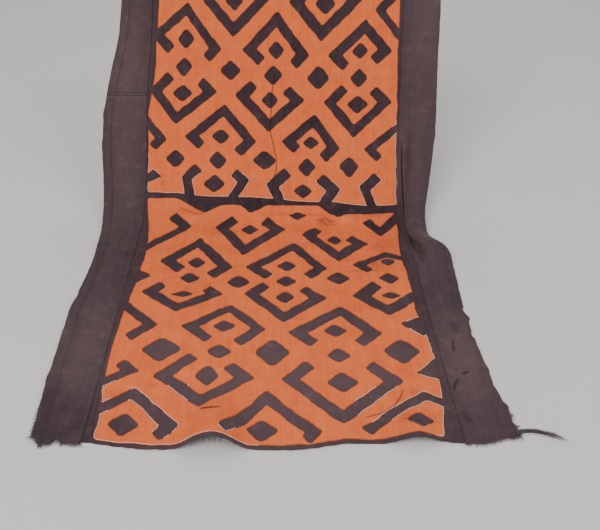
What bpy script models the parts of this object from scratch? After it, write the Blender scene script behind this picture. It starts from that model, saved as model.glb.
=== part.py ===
"""Kuba raffia cloth: an orange cut-work field on a dark ground, with dark borders down both sides.

It hangs from its top edge, sweeps forward and lies on the floor with its front hem towards -Y.
Units are metres, +Z is up, and the origin is the middle of the top edge.
Flat cloth places are given as (u, v): u to the right of the field's middle line, v up from the front hem.
"""

import math
from collections import namedtuple

import bmesh
import bpy
from mathutils import Vector
from mathutils.geometry import delaunay_2d_cdt

# Driving sizes of the cloth
CLOTH_LENGTH = 1.190
LAID_LENGTH = 0.494
SWEEP_RADIUS = 0.150
GROUND_THICK = 0.0013
CUTWORK_THICK = 0.0010
BORDER_THICK = 0.0015
LAYER_GAP = 0.0004
SEAM_GAP = 0.0003
HEM_LIP = 0.005
SEAM_PLACE = 0.262
BORDER_JOIN = 0.808

# Where the rows of facets go
HEM_ROWS = (0.006, 0.018, 0.030, 0.044, 0.060, 0.080, 0.105)
LEAST_ROW = 0.007
LEAST_COLUMN = 0.006
LAID_STEP = 0.055
TURN_STEP = math.radians(5.0)
GROUND_STEP = 0.035
ARCH_STEP = 0.0115
MERGE = 0.0001

# The cut edges of the field and the outer edges of the borders, hem to top
Edge = namedtuple("Edge", "v field_left field_right cloth_left cloth_right")
EDGES = (
    Edge(0.000, -0.246, 0.235, -0.334, 0.342),
    Edge(0.060, -0.247, 0.246, -0.337, 0.333),
    Edge(0.105, -0.254, 0.250, -0.339, 0.329),
    Edge(0.180, -0.256, 0.251, -0.342, 0.324),
    Edge(0.264, -0.252, 0.242, -0.344, 0.324),
    Edge(0.340, -0.244, 0.245, -0.339, 0.329),
    Edge(0.425, -0.241, 0.240, -0.336, 0.333),
    Edge(0.480, -0.245, 0.245, -0.339, 0.335),
    Edge(0.580, -0.257, 0.254, -0.347, 0.337),
    Edge(0.700, -0.260, 0.256, -0.356, 0.338),
    Edge(0.770, -0.260, 0.258, -0.353, 0.339),
    Edge(0.850, -0.250, 0.257, -0.342, 0.339),
    Edge(0.930, -0.250, 0.256, -0.330, 0.338),
    Edge(1.190, -0.248, 0.256, -0.320, 0.332),
)

# Where the two panels of the field end, left to right: the dark band shows between them
PanelEnd = namedtuple("PanelEnd", "u lower_top upper_bottom")
PANEL_ENDS = (
    PanelEnd(-0.300, 0.589, 0.606),
    PanelEnd(-0.197, 0.591, 0.600),
    PanelEnd(-0.139, 0.554, 0.594),
    PanelEnd(-0.105, 0.574, 0.592),
    PanelEnd(-0.065, 0.573, 0.594),
    PanelEnd(-0.047, 0.553, 0.592),
    PanelEnd(-0.014, 0.572, 0.589),
    PanelEnd(0.060, 0.573, 0.581),
    PanelEnd(0.093, 0.571, 0.581),
    PanelEnd(0.131, 0.537, 0.579),
    PanelEnd(0.149, 0.551, 0.576),
    PanelEnd(0.194, 0.551, 0.571),
    PanelEnd(0.300, 0.556, 0.574),
)
LOWER_START = 0.001
UPPER_END = 1.140
BAND_PLACE = 0.580

# How far the front hem is drawn forward of its plain line
Hem = namedtuple("Hem", "u forward")
HEM = (
    Hem(-0.334, -0.010),
    Hem(-0.318, 0.002),
    Hem(-0.262, 0.000),
    Hem(-0.236, 0.004),
    Hem(-0.205, 0.009),
    Hem(-0.173, 0.013),
    Hem(-0.030, 0.013),
    Hem(0.023, 0.014),
    Hem(0.049, 0.012),
    Hem(0.097, 0.003),
    Hem(0.169, 0.003),
    Hem(0.235, 0.001),
    Hem(0.266, 0.003),
    Hem(0.300, 0.000),
    Hem(0.342, -0.009),
)
HEM_REACH = 0.100

# How far the left side is drawn in towards the middle, going up the cloth
Draw = namedtuple("Draw", "v by")
DRAWN_IN = (
    Draw(0.770, 0.000),
    Draw(0.850, 0.007),
    Draw(0.930, 0.017),
    Draw(1.000, 0.024),
    Draw(1.190, 0.028),
)
DRAWN_FROM = 0.080
DRAWN_OVER = 0.220

# Places where the front hem stands off the floor in an arch
Arch = namedtuple("Arch", "u half_width height reach")
ARCHES = (
    Arch(-0.083, 0.060, 0.030, 0.105),
    Arch(0.196, 0.050, 0.014, 0.080),
)

# Soft tucks across the cloth where it leaves the floor
Tuck = namedtuple("Tuck", "u_start u_end v half_width height")
TUCKS = (
    Tuck(-0.215, -0.125, 0.548, 0.016, 0.0040),
    Tuck(-0.045, 0.185, 0.540, 0.016, 0.0050),
)
TUCK_FADE = 0.030

# The pleat down the right border: how far it is folded at each place up the cloth
Pleat = namedtuple("Pleat", "v fold")
PLEAT = (
    Pleat(0.400, 0.00),
    Pleat(0.430, 0.45),
    Pleat(0.455, 0.90),
    Pleat(0.480, 1.08),
    Pleat(0.550, 0.98),
    Pleat(0.620, 0.66),
    Pleat(0.700, 0.36),
    Pleat(0.765, 0.00),
)
PLEAT_START = 0.006
PLEAT_WIDTH = 0.036
PLEAT_TURN = math.radians(155.0)
PLEAT_FALL = math.radians(24.0)
PLEAT_EASE = 0.012

# Columns of the borders, out from the seam, with the height of the sewn ridges above the cloth
Column = namedtuple("Column", "share ridge")
LEFT_BORDER = (
    Column(0.000, 0.0002),
    Column(0.020, 0.0013),
    Column(0.060, 0.0013),
    Column(0.085, 0.0000),
    Column(0.150, 0.0000),
    Column(0.175, 0.0010),
    Column(0.215, 0.0010),
    Column(0.240, 0.0000),
    Column(0.460, 0.0000),
    Column(0.720, 0.0000),
    Column(1.000, 0.0000),
)
RIGHT_BORDER = (
    Column(0.000, 0.0002),
    Column(0.020, 0.0012),
    Column(0.055, 0.0010),
    Column(0.090, 0.0000),
    Column(0.160, 0.0000),
    Column(0.230, 0.0000),
    Column(0.300, 0.0000),
    Column(0.370, 0.0000),
    Column(0.440, 0.0000),
    Column(0.500, 0.0000),
    Column(0.560, 0.0000),
    Column(0.640, 0.0000),
    Column(0.750, 0.0000),
    Column(0.870, 0.0000),
    Column(1.000, 0.0000),
)

# The small waves of the borders' outer edges
WAVE_HEIGHT = 0.0045
WAVE_QUICK = 23.0
WAVE_SLOW = 9.0
WAVE_QUICK_SHIFT = 1.3
WAVE_SLOW_SHIFT = 0.4
WAVE_START = 0.05
PATH_STEPS = 120

# The hooked chevrons, two to a figure. Way is 1 for one that points up and -1 for one that points down.
# Its tip and its two outer corners are places on the flat cloth, and wide and high are half its lozenge.
Chevron = namedtuple(
    "Chevron",
    "panel figure way tip_u tip_v left_u left_v right_u right_v stroke hook_left hook_right wide high",
)
CHEVRONS = (
    Chevron("upper", 1, 1, -0.076, 1.128, -0.146, 1.066, -0.004, 1.064, 0.019, 0.042, 0.042, 0.0165, 0.0160),
    Chevron("upper", 1, -1, -0.081, 0.924, -0.148, 1.000, -0.006, 0.998, 0.019, 0.042, 0.042, 0.0165, 0.0165),
    Chevron("upper", 2, 1, 0.104, 1.128, 0.034, 1.066, 0.178, 1.066, 0.019, 0.042, 0.042, 0.0165, 0.0165),
    Chevron("upper", 2, -1, 0.098, 0.916, 0.032, 0.993, 0.180, 0.996, 0.020, 0.042, 0.042, 0.0185, 0.0190),
    Chevron("upper", 3, 1, 0.275, 1.126, 0.206, 1.062, 0.345, 1.062, 0.018, 0.042, 0.042, 0.0, 0.0),
    Chevron("upper", 3, -1, 0.255, 0.918, 0.206, 0.978, 0.330, 0.985, 0.014, 0.044, 0.042, 0.0, 0.0),
    Chevron("upper", 4, 1, -0.181, 0.991, -0.263, 0.930, -0.106, 0.900, 0.018, 0.055, 0.036, 0.0175, 0.0175),
    Chevron("upper", 4, -1, -0.202, 0.748, -0.260, 0.819, -0.116, 0.815, 0.018, 0.052, 0.040, 0.0190, 0.0155),
    Chevron("upper", 5, 1, 0.009, 0.974, -0.062, 0.899, 0.075, 0.887, 0.019, 0.044, 0.036, 0.0150, 0.0160),
    Chevron("upper", 5, -1, -0.009, 0.732, -0.078, 0.808, 0.065, 0.798, 0.019, 0.044, 0.041, 0.0160, 0.0160),
    Chevron("upper", 6, 1, 0.188, 0.960, 0.113, 0.887, 0.243, 0.897, 0.019, 0.042, 0.040, 0.0150, 0.0155),
    Chevron("upper", 6, -1, 0.167, 0.720, 0.105, 0.794, 0.247, 0.794, 0.018, 0.052, 0.046, 0.0205, 0.0165),
    Chevron("upper", 7, 1, -0.100, 0.790, -0.184, 0.724, -0.035, 0.712, 0.018, 0.040, 0.044, 0.0175, 0.0140),
    Chevron("upper", 7, -1, -0.151, 0.456, -0.190, 0.638, -0.049, 0.630, 0.019, 0.038, 0.036, 0.0205, 0.0185),
    Chevron("upper", 8, 1, 0.087, 0.769, 0.017, 0.713, 0.140, 0.697, 0.019, 0.036, 0.040, 0.0155, 0.0130),
    Chevron("upper", 8, -1, 0.046, 0.470, -0.013, 0.621, 0.139, 0.610, 0.021, 0.050, 0.048, 0.0175, 0.0155),
    Chevron("upper", 9, 1, 0.275, 0.763, 0.189, 0.695, 0.360, 0.690, 0.015, 0.036, 0.036, 0.0, 0.0),
    Chevron("upper", 9, -1, 0.220, 0.480, 0.178, 0.616, 0.370, 0.616, 0.020, 0.043, 0.043, 0.0, 0.0),
    Chevron("upper", 10, 1, -0.285, 0.797, -0.350, 0.720, -0.222, 0.717, 0.016, 0.032, 0.032, 0.0, 0.0),
    Chevron("upper", 10, -1, -0.305, 0.604, -0.345, 0.637, -0.231, 0.637, 0.016, 0.026, 0.026, 0.0, 0.0),
    Chevron("lower", 11, -1, -0.262, 0.417, -0.355, 0.535, -0.160, 0.518, 0.018, 0.050, 0.050, 0.0, 0.0),
    Chevron("lower", 12, -1, -0.057, 0.423, -0.115, 0.515, 0.025, 0.506, 0.020, 0.044, 0.048, 0.0165, 0.0165),
    Chevron("lower", 13, -1, 0.122, 0.402, 0.055, 0.487, 0.184, 0.459, 0.020, 0.038, 0.040, 0.0135, 0.0150),
    Chevron("lower", 14, -1, 0.212, 0.484, 0.180, 0.527, 0.275, 0.557, 0.019, 0.0, 0.030, 0.0, 0.0),
    Chevron("lower", 15, 1, -0.141, 0.477, -0.210, 0.404, -0.073, 0.384, 0.020, 0.048, 0.045, 0.0150, 0.0150),
    Chevron("lower", 15, -1, -0.164, 0.260, -0.231, 0.315, -0.087, 0.308, 0.018, 0.040, 0.034, 0.0180, 0.0080),
    Chevron("lower", 16, 1, 0.041, 0.462, -0.051, 0.385, 0.100, 0.381, 0.018, 0.050, 0.043, 0.0165, 0.0145),
    Chevron("lower", 16, -1, 0.018, 0.234, -0.051, 0.310, 0.093, 0.297, 0.018, 0.046, 0.046, 0.0160, 0.0155),
    Chevron("lower", 17, 1, 0.212, 0.431, 0.146, 0.392, 0.280, 0.404, 0.014, 0.036, 0.0, 0.0130, 0.0095),
    Chevron("lower", 17, -1, 0.195, 0.250, 0.137, 0.304, 0.275, 0.312, 0.021, 0.056, 0.0, 0.0155, 0.0090),
    Chevron("lower", 18, 1, -0.262, 0.300, -0.335, 0.225, -0.190, 0.229, 0.017, 0.050, 0.052, 0.0, 0.0),
    Chevron("lower", 18, -1, -0.275, 0.080, -0.340, 0.126, -0.204, 0.126, 0.016, 0.036, 0.036, 0.0, 0.0),
    Chevron("lower", 19, 1, -0.071, 0.280, -0.151, 0.227, -0.012, 0.218, 0.016, 0.056, 0.054, 0.0175, 0.0130),
    Chevron("lower", 19, -1, -0.104, 0.053, -0.181, 0.115, -0.028, 0.111, 0.018, 0.070, 0.046, 0.0, 0.0),
    Chevron("lower", 20, 1, 0.115, 0.275, 0.024, 0.211, 0.178, 0.209, 0.019, 0.048, 0.046, 0.0175, 0.0140),
    Chevron("lower", 20, -1, 0.100, 0.026, 0.012, 0.109, 0.196, 0.104, 0.018, 0.053, 0.058, 0.0220, 0.0175),
    Chevron("lower", 21, 1, 0.300, 0.282, 0.211, 0.231, 0.390, 0.231, 0.030, 0.045, 0.045, 0.0, 0.0),
    Chevron("lower", 21, -1, 0.300, 0.085, 0.218, 0.121, 0.390, 0.121, 0.028, 0.045, 0.045, 0.0, 0.0),
    Chevron("lower", 22, 1, -0.205, 0.092, -0.290, 0.036, -0.131, 0.031, 0.017, 0.034, 0.034, 0.0, 0.0),
    Chevron("lower", 23, 1, -0.010, 0.086, -0.075, 0.0165, 0.069, 0.019, 0.016, 0.0, 0.025, 0.0, 0.0),
    Chevron("lower", 24, 1, 0.222, 0.084, 0.124, 0.021, 0.300, 0.042, 0.015, 0.018, 0.030, 0.0, 0.0),
)

# The lozenges that stand off their figure's middle, most of them where the figures' diagonals cross
Crossing = namedtuple("Crossing", "panel u v wide high")
CROSSINGS = (
    Crossing("upper", 0.008, 1.032, 0.0200, 0.0200),
    Crossing("upper", 0.188, 1.030, 0.0200, 0.0200),
    Crossing("upper", -0.183, 1.036, 0.0200, 0.0200),
    Crossing("upper", -0.087, 0.858, 0.0195, 0.0190),
    Crossing("upper", 0.093, 0.843, 0.0220, 0.0215),
    Crossing("upper", -0.203, 0.677, 0.0185, 0.0180),
    Crossing("upper", -0.018, 0.672, 0.0225, 0.0185),
    Crossing("upper", 0.158, 0.658, 0.0190, 0.0200),
    Crossing("lower", 0.050, 0.544, 0.0170, 0.0105),
    Crossing("lower", -0.250, 0.358, 0.0270, 0.0200),
    Crossing("lower", -0.062, 0.341, 0.0200, 0.0170),
    Crossing("lower", 0.118, 0.352, 0.0200, 0.0170),
    Crossing("lower", -0.177, 0.172, 0.0295, 0.0250),
    Crossing("lower", -0.001, 0.165, 0.0260, 0.0270),
    Crossing("lower", 0.203, 0.168, 0.0275, 0.0255),
    Crossing("lower", -0.085, 0.167, 0.0175, 0.0145),
    Crossing("lower", -0.099, 0.114, 0.0170, 0.0190),
    Crossing("lower", -0.210, 0.029, 0.0210, 0.0175),
    Crossing("lower", -0.016, 0.0235, 0.0210, 0.0150),
    Crossing("lower", 0.2065, 0.026, 0.0185, 0.0130),
)

# Proportions that every figure shares
MIDDLE_WIDE = {"upper": 0.0175, "lower": 0.0175}
MIDDLE_HIGH = {"upper": 0.0180, "lower": 0.0145}
HOOK_SLOPE = math.radians(44.0)
HOOK_WIDER = 1.10
LOZENGE_SHIFT = 0.07
LOZENGE_BLUNT = 0.14
WEB = 0.0035
LEAST_BIT = 0.0002

# The frayed end of thread at the front right corner
FRAY_LENGTH = 0.068
FRAY_ROOT = 0.0030
FRAY_TIP = 0.0012
FRAY_PLACE = 0.002
FRAY_DROP = 0.010
FRAY_BEND = 0.004
FRAY_BEND_TURN = 5.0
FRAY_RINGS = 9
FRAY_SIDES = 6

COLOURS = {
    "orange_raffia": ((0.72, 0.22, 0.09, 1.0), 0.85),
    "dark_raffia": ((0.060, 0.043, 0.047, 1.0), 0.88),
    "frayed_thread": ((0.10, 0.07, 0.07, 1.0), 0.9),
}


def clear_scene():
    """Removes whatever the scene holds."""
    for thing in list(bpy.data.objects):
        bpy.data.objects.remove(thing)


def material(slot):
    """The plain material of one kind of raffia."""
    found = bpy.data.materials.get(slot)
    if found:
        return found
    colour, roughness = COLOURS[slot]
    made = bpy.data.materials.new(slot)
    made.use_nodes = True
    shader = made.node_tree.nodes["Principled BSDF"]
    shader.inputs["Base Color"].default_value = colour
    shader.inputs["Roughness"].default_value = roughness
    shader.inputs["Metallic"].default_value = 0.0
    made.diffuse_color = colour
    return made


def smooth(t):
    """0 to 1, level at both ends."""
    t = min(max(t, 0.0), 1.0)
    return t * t * (3.0 - 2.0 * t)


def along(table, key, place):
    """Reads one column of a table at a place between its rows, first column first."""
    if place <= table[0][0]:
        return getattr(table[0], key)
    for low, high in zip(table, table[1:]):
        if place <= high[0]:
            share = (place - low[0]) / (high[0] - low[0])
            return getattr(low, key) + (getattr(high, key) - getattr(low, key)) * share
    return getattr(table[-1], key)


def edge(key, v):
    """How far out one edge is, at v up the cloth."""
    return along(EDGES, key, v)


def sweep(v):
    """(y, z, turn) of the bare cloth line at v: level on the floor, then the curve of a hung chain."""
    beyond = v - LAID_LENGTH
    if beyond <= 0.0:
        return beyond, 0.0, 0.0
    y = SWEEP_RADIUS * math.asinh(beyond / SWEEP_RADIUS)
    z = math.hypot(SWEEP_RADIUS, beyond) - SWEEP_RADIUS
    return y, z, math.atan2(beyond, SWEEP_RADIUS)


TOP_Y, TOP_Z, TOP_TURN = sweep(CLOTH_LENGTH)


def hump(t):
    """A round hump, 1 at the middle and 0 from 1 each way."""
    return math.cos(0.5 * math.pi * t) ** 2 if abs(t) < 1.0 else 0.0


def lift(u, v):
    """How far the cloth stands off its plain line: hem arches and tucks."""
    height = 0.0
    for arch in ARCHES:
        height += arch.height * hump((u - arch.u) / arch.half_width) * hump(max(v, 0.0) / arch.reach)
    for tuck in TUCKS:
        fade = smooth((u - tuck.u_start) / TUCK_FADE) * smooth((tuck.u_end - u) / TUCK_FADE)
        height += tuck.height * fade * hump((v - tuck.v) / tuck.half_width)
    return height


def row_point(u, v, off):
    """The place of (u, v) on the true line of the cloth, at a height off its underside."""
    forward = along(HEM, "forward", u) * hump(max(v, 0.0) / HEM_REACH)
    x = u + along(DRAWN_IN, "by", v) * smooth((-u - DRAWN_FROM) / DRAWN_OVER)
    y, z, turn = sweep(v - forward)
    height = lift(u, v) + off
    return Vector((x, y - TOP_Y - math.sin(turn) * height, z - TOP_Z + math.cos(turn) * height))


def cell_of(stations, place):
    """(lower station, upper station, share of the way between) for a place along a list."""
    for low, high in zip(stations, stations[1:]):
        if place <= high:
            break
    return low, high, (place - low) / (high - low)


def cloth_point(u, v, off):
    """The place of (u, v) on the ground's own facets, so that every layer has the same ones."""
    low_v, high_v, t = cell_of(ROWS, v)
    if abs(u) > SEAM_PLACE:
        return row_point(u, low_v, off).lerp(row_point(u, high_v, off), t)
    low_u, high_u, s = cell_of(COLUMNS, u)
    start, end = row_point(low_u, low_v, off), row_point(high_u, high_v, off)
    if s >= t:
        return start * (1 - s) + row_point(high_u, low_v, off) * (s - t) + end * t
    return start * (1 - t) + row_point(low_u, high_v, off) * (t - s) + end * s


def cloth_rows(start, end):
    """The places of the facet rows from start to end: close at the hem, the tucks and the pleat's ends."""
    rows = list(HEM_ROWS)
    rows += [pleat.v for pleat in PLEAT]
    count = int((LAID_LENGTH - HEM_ROWS[-1]) / LAID_STEP)
    step = (LAID_LENGTH - HEM_ROWS[-1]) / count
    rows += [HEM_ROWS[-1] + step * k for k in range(1, count + 1)]
    turn = TURN_STEP
    while turn < TOP_TURN:
        rows.append(LAID_LENGTH + SWEEP_RADIUS * math.tan(turn))
        turn += TURN_STEP
    tuck = TUCKS[-1]
    rows += [tuck.v + tuck.half_width * k / 2 for k in range(-2, 3)]
    kept = [start]
    for v in sorted(rows):
        if v > kept[-1] + LEAST_ROW and v < end - LEAST_ROW:
            kept.append(v)
    return kept + [end]


def field_columns():
    """The places of the ground's columns: even, and closer where the hem arches."""
    places = {-SEAM_PLACE, SEAM_PLACE}
    count = round(2 * SEAM_PLACE / GROUND_STEP)
    places |= {-SEAM_PLACE + 2 * SEAM_PLACE * k / count for k in range(1, count)}
    for arch in ARCHES:
        steps = round(arch.half_width / ARCH_STEP)
        places |= {arch.u + arch.half_width * k / steps for k in range(-steps, steps + 1)}
    kept = []
    for u in sorted(places):
        if not kept or u - kept[-1] > LEAST_COLUMN:
            kept.append(u)
    kept[-1] = SEAM_PLACE
    return kept


ROWS = cloth_rows(-HEM_LIP, CLOTH_LENGTH)
COLUMNS = field_columns()


def fold_lines(low_v, high_v):
    """The ground's facet edges that a panel between two heights has to bend on."""
    lines = []
    for v in ROWS:
        if low_v + WEB < v < high_v and v > LAID_LENGTH:
            lines.append(((-SEAM_PLACE, v), (SEAM_PLACE, v)))
    for low, high in zip(ROWS, ROWS[1:]):
        if high < low_v or low > high_v:
            continue
        for left, right in zip(COLUMNS, COLUMNS[1:]):
            corners = [(left, low), (right, low), (right, high), (left, high)]
            if any(lift(*corner) > 0.0 for corner in corners):
                lines += [(corners[0], corners[2])]
                lines += list(zip(corners, corners[1:] + corners[:1]))
    return lines


def add_solid(name, slot, top, bottom, triangles):
    """Closes a sheet between its top and bottom points, which share their triangles."""
    edges = {}
    for a, b, c in triangles:
        for pair in ((a, b), (b, c), (c, a)):
            edges[pair] = edges.get(pair, 0) + 1
    rim = [pair for pair in edges if (pair[1], pair[0]) not in edges]
    count = len(top)
    faces = [(a, b, c) for a, b, c in triangles]
    faces += [(count + c, count + b, count + a) for a, b, c in triangles]
    for a, b in rim:
        faces.append((b, a, count + a))
        faces.append((b, count + a, count + b))
    mesh = bpy.data.meshes.new(name)
    mesh.from_pydata([tuple(p) for p in top + bottom], [], faces)
    mesh.validate()
    body = bmesh.new()
    body.from_mesh(mesh)
    bmesh.ops.delete(body, geom=[v for v in body.verts if not v.link_faces], context="VERTS")
    bmesh.ops.recalc_face_normals(body, faces=body.faces)
    body.to_mesh(mesh)
    body.free()
    mesh.materials.append(material(slot))
    thing = bpy.data.objects.new(name, mesh)
    bpy.context.scene.collection.objects.link(thing)
    return thing


def grid_triangles(rows, columns):
    """Two triangles for each cell of a grid whose points go row by row."""
    triangles = []
    for r in range(rows - 1):
        for c in range(columns - 1):
            a = r * columns + c
            b = a + 1
            d = a + columns
            e = d + 1
            triangles.append((a, b, e))
            triangles.append((a, e, d))
    return triangles


def make_ground():
    """The dark cloth under the whole field, with its front hem lip."""
    places = [(u, v) for v in ROWS for u in COLUMNS]
    top = [cloth_point(u, v, GROUND_THICK) for u, v in places]
    bottom = [cloth_point(u, v, 0.0) for u, v in places]
    return add_solid("ground_cloth", "dark_raffia", top, bottom, grid_triangles(len(ROWS), len(COLUMNS)))


def pleat_path(width, fold):
    """Across the right border: (x, height, slope) at each of its columns, for a pleat folded that far."""
    steps = PATH_STEPS
    step = width / steps
    x, height = 0.0, 0.0
    track = [(0.0, 0.0, 0.0)]
    for k in range(steps):
        s = (k + 0.5) * step
        slope = 0.0
        if PLEAT_START < s < PLEAT_START + PLEAT_WIDTH:
            slope = fold * PLEAT_TURN * math.sin(math.pi * (s - PLEAT_START) / PLEAT_WIDTH) ** 2
        elif s >= PLEAT_START + PLEAT_WIDTH:
            slope = -fold * PLEAT_FALL * smooth((s - PLEAT_START - PLEAT_WIDTH) / PLEAT_EASE)
        x += math.cos(slope) * step
        height += math.sin(slope) * step
        track.append((x, height, slope))
    return [track[round(column.share * steps)] for column in RIGHT_BORDER]


def border_edge_lift(side, share, v):
    """The small waves of a border's outer edge, off the floor or the plain line."""
    quick = math.sin(WAVE_QUICK * v + WAVE_QUICK_SHIFT * side)
    wave = 0.5 + 0.5 * quick * math.cos(WAVE_SLOW * v + WAVE_SLOW_SHIFT)
    return WAVE_HEIGHT * share ** 2 * wave * smooth(v / WAVE_START)


def make_left_border(name, start, end):
    """One length of the left border, from its two sewn ridges out to its hem."""
    rows = cloth_rows(start, end)
    top, bottom = [], []
    for v in rows:
        inner = -SEAM_PLACE - SEAM_GAP
        width = inner - edge("cloth_left", v)
        for column in reversed(LEFT_BORDER):
            u = inner - width * column.share
            wave = border_edge_lift(-1.0, column.share, v)
            top.append(cloth_point(u, v, wave + BORDER_THICK + column.ridge))
            bottom.append(cloth_point(u, v, wave))
    return add_solid(name, "dark_raffia", top, bottom, grid_triangles(len(rows), len(LEFT_BORDER)))


def make_right_border():
    """The right border, with the pleat that draws its edge in where the cloth leaves the floor."""
    top, bottom = [], []
    for v in ROWS:
        inner = SEAM_PLACE + SEAM_GAP
        width = edge("cloth_right", v) - inner
        fold = along(PLEAT, "fold", v)
        for column, (x, height, slope) in zip(RIGHT_BORDER, pleat_path(width, fold)):
            wave = border_edge_lift(1.0, column.share, v)
            for points, off in ((top, BORDER_THICK + column.ridge), (bottom, 0.0)):
                out = inner + x - math.sin(slope) * off
                points.append(cloth_point(out, v, height + wave + math.cos(slope) * off))
    return add_solid("border_right", "dark_raffia", top, bottom, grid_triangles(len(ROWS), len(RIGHT_BORDER)))


def meeting(a, a_way, b, b_way):
    """Where the flat line through a along a_way meets the one through b along b_way."""
    return a + a_way * ((b - a).cross(b_way) / a_way.cross(b_way))


def chevron_side(tip, corner, side, row, hook):
    """Points of one arm and its hook, outer corner to inner corner, and the arm's inner line."""
    arm = (corner - tip).normalized()
    arm_in = Vector((-side * abs(arm.y), -row.way * abs(arm.x)))
    inner_line = (tip + arm_in * row.stroke, arm)
    if not hook:
        return [corner, corner + arm_in * row.stroke], inner_line
    cos, sin = math.cos(HOOK_SLOPE), math.sin(HOOK_SLOPE)
    hook_way = Vector((-side * cos, -row.way * sin))
    hook_in = Vector((-side * sin, row.way * cos)) * row.stroke * HOOK_WIDER
    inner_corner = meeting(*inner_line, corner + hook_in, hook_way)
    end = corner + hook_way * hook
    return [corner, end, end + hook_in, inner_corner], inner_line


def chevron(row):
    """Outline of one hooked chevron on the flat cloth."""
    tip = Vector((row.tip_u, row.tip_v))
    right, right_line = chevron_side(tip, Vector((row.right_u, row.right_v)), 1, row, row.hook_right)
    left, left_line = chevron_side(tip, Vector((row.left_u, row.left_v)), -1, row, row.hook_left)
    inner_tip = meeting(*right_line, *left_line)
    return [tuple(point) for point in [tip, *right, inner_tip, *reversed(left)]]


def lozenge_place(row):
    """The middle of a chevron's own lozenge: between its corners, a little towards its tip."""
    middle = Vector((row.left_u + row.right_u, row.left_v + row.right_v)) / 2
    return middle.lerp(Vector((row.tip_u, row.tip_v)), LOZENGE_SHIFT)


def lozenge(place, wide, high):
    """Outline of a lozenge with blunt corners."""
    points = []
    for x, y in ((1, 0), (0, 1), (-1, 0), (0, -1)):
        for turn in (-1, 1):
            out = place[0] + wide * (x - turn * y * LOZENGE_BLUNT)
            points.append((out, place[1] + high * (y + turn * x * LOZENGE_BLUNT)))
    return points


def openings(panel):
    """Outlines of every opening in one panel, in flat cloth places."""
    found = []
    above = {}
    for row in CHEVRONS:
        if row.panel != panel:
            continue
        found.append(chevron(row))
        if not row.wide:
            continue
        place = lozenge_place(row)
        found.append(lozenge(place, row.wide, row.high))
        if row.figure in above:
            middle = above[row.figure].lerp(place, 0.5)
            found.append(lozenge(middle, MIDDLE_WIDE[panel], MIDDLE_HIGH[panel]))
        above[row.figure] = place
    for row in CROSSINGS:
        if row.panel == panel:
            found.append(lozenge((row.u, row.v), row.wide, row.high))
    return found


def panel_side(key, low_v, high_v):
    """One side edge of a panel, from its foot to its top."""
    between = [v for v in ROWS if low_v + WEB < v < high_v - WEB]
    return [(edge(key, v), v) for v in [low_v, *between, high_v]]


def panel_outline(panel):
    """The cut edge of one panel of the field, anticlockwise from its lower left corner."""
    sides = []
    for key in ("field_left", "field_right"):
        u = edge(key, BAND_PLACE)
        if panel == "lower":
            sides.append(panel_side(key, LOWER_START, along(PANEL_ENDS, "lower_top", u)))
        else:
            sides.append(panel_side(key, along(PANEL_ENDS, "upper_bottom", u), UPPER_END))
    left, right = sides
    if panel == "lower":
        low = [(u, LOWER_START) for u in COLUMNS]
        high = [(end.u, end.lower_top) for end in PANEL_ENDS]
    else:
        low = [(end.u, end.upper_bottom) for end in PANEL_ENDS]
        high = [(u, UPPER_END) for u in COLUMNS]
    low = [p for p in low if left[0][0] + WEB < p[0] < right[0][0] - WEB]
    high = [p for p in high if left[-1][0] + WEB < p[0] < right[-1][0] - WEB]
    return [left[0], *low, *right, *reversed(high), *left[:0:-1]]


def inside(ring, x, y):
    """True if (x, y) lies inside a closed outline."""
    found = False
    for (ax, ay), (bx, by) in zip(ring, ring[1:] + ring[:1]):
        if (ay > y) != (by > y) and x < ax + (bx - ax) * (y - ay) / (by - ay):
            found = not found
    return found


def cut_panel(panel):
    """Triangles of one panel with its openings cut out, as (places, triangles)."""
    outline = panel_outline(panel)
    shapes = openings(panel)
    places, lines = [], []
    for ring in [outline] + shapes:
        first = len(places)
        places += ring
        lines += [(first + k, first + (k + 1) % len(ring)) for k in range(len(ring))]
    low_v = min(v for _, v in outline)
    high_v = max(v for _, v in outline)
    for start, end in fold_lines(low_v, high_v):
        lines.append((len(places), len(places) + 1))
        places += [start, end]
    made = delaunay_2d_cdt([Vector(p) for p in places], lines, [], 0, MERGE)
    points = [(p.x, p.y) for p in made[0]]
    kept = []
    for cell in made[2]:
        middle = [sum(points[k][axis] for k in cell) / 3 for axis in (0, 1)]
        if inside(outline, *middle) and not any(inside(shape, *middle) for shape in shapes):
            kept.append(tuple(cell))
    return points, kept


def connected_parts(triangles):
    """Splits triangles into groups that share edges, largest first."""
    by_edge = {}
    for k, (a, b, c) in enumerate(triangles):
        for pair in ((a, b), (b, c), (c, a)):
            by_edge.setdefault(frozenset(pair), []).append(k)
    left = set(range(len(triangles)))
    groups = []
    while left:
        queue = [left.pop()]
        group = []
        while queue:
            k = queue.pop()
            group.append(k)
            a, b, c = triangles[k]
            for pair in ((a, b), (b, c), (c, a)):
                for other in by_edge[frozenset(pair)]:
                    if other in left:
                        left.remove(other)
                        queue.append(other)
        groups.append([triangles[k] for k in group])
    return sorted(groups, key=len, reverse=True)


def make_cutwork(panel):
    """One panel of orange cut-work, and any cut-off bits of it that are sewn on by themselves."""
    points, triangles = cut_panel(panel)
    low = GROUND_THICK + LAYER_GAP
    made = []
    for part in connected_parts(triangles):
        area = sum(abs(triangle_area(points, t)) for t in part)
        if area < LEAST_BIT:
            continue
        used = sorted({k for t in part for k in t})
        order = {k: n for n, k in enumerate(used)}
        faces = [tuple(order[k] for k in t) for t in part]
        bottom, top = [], []
        for k in used:
            bottom.append(cloth_point(*points[k], low))
            top.append(cloth_point(*points[k], low + CUTWORK_THICK))
        name = f"cutwork_{panel}" if not made else f"cutwork_{panel}_bit_{len(made)}"
        made.append(add_solid(name, "orange_raffia", top, bottom, faces))
    return made


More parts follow.
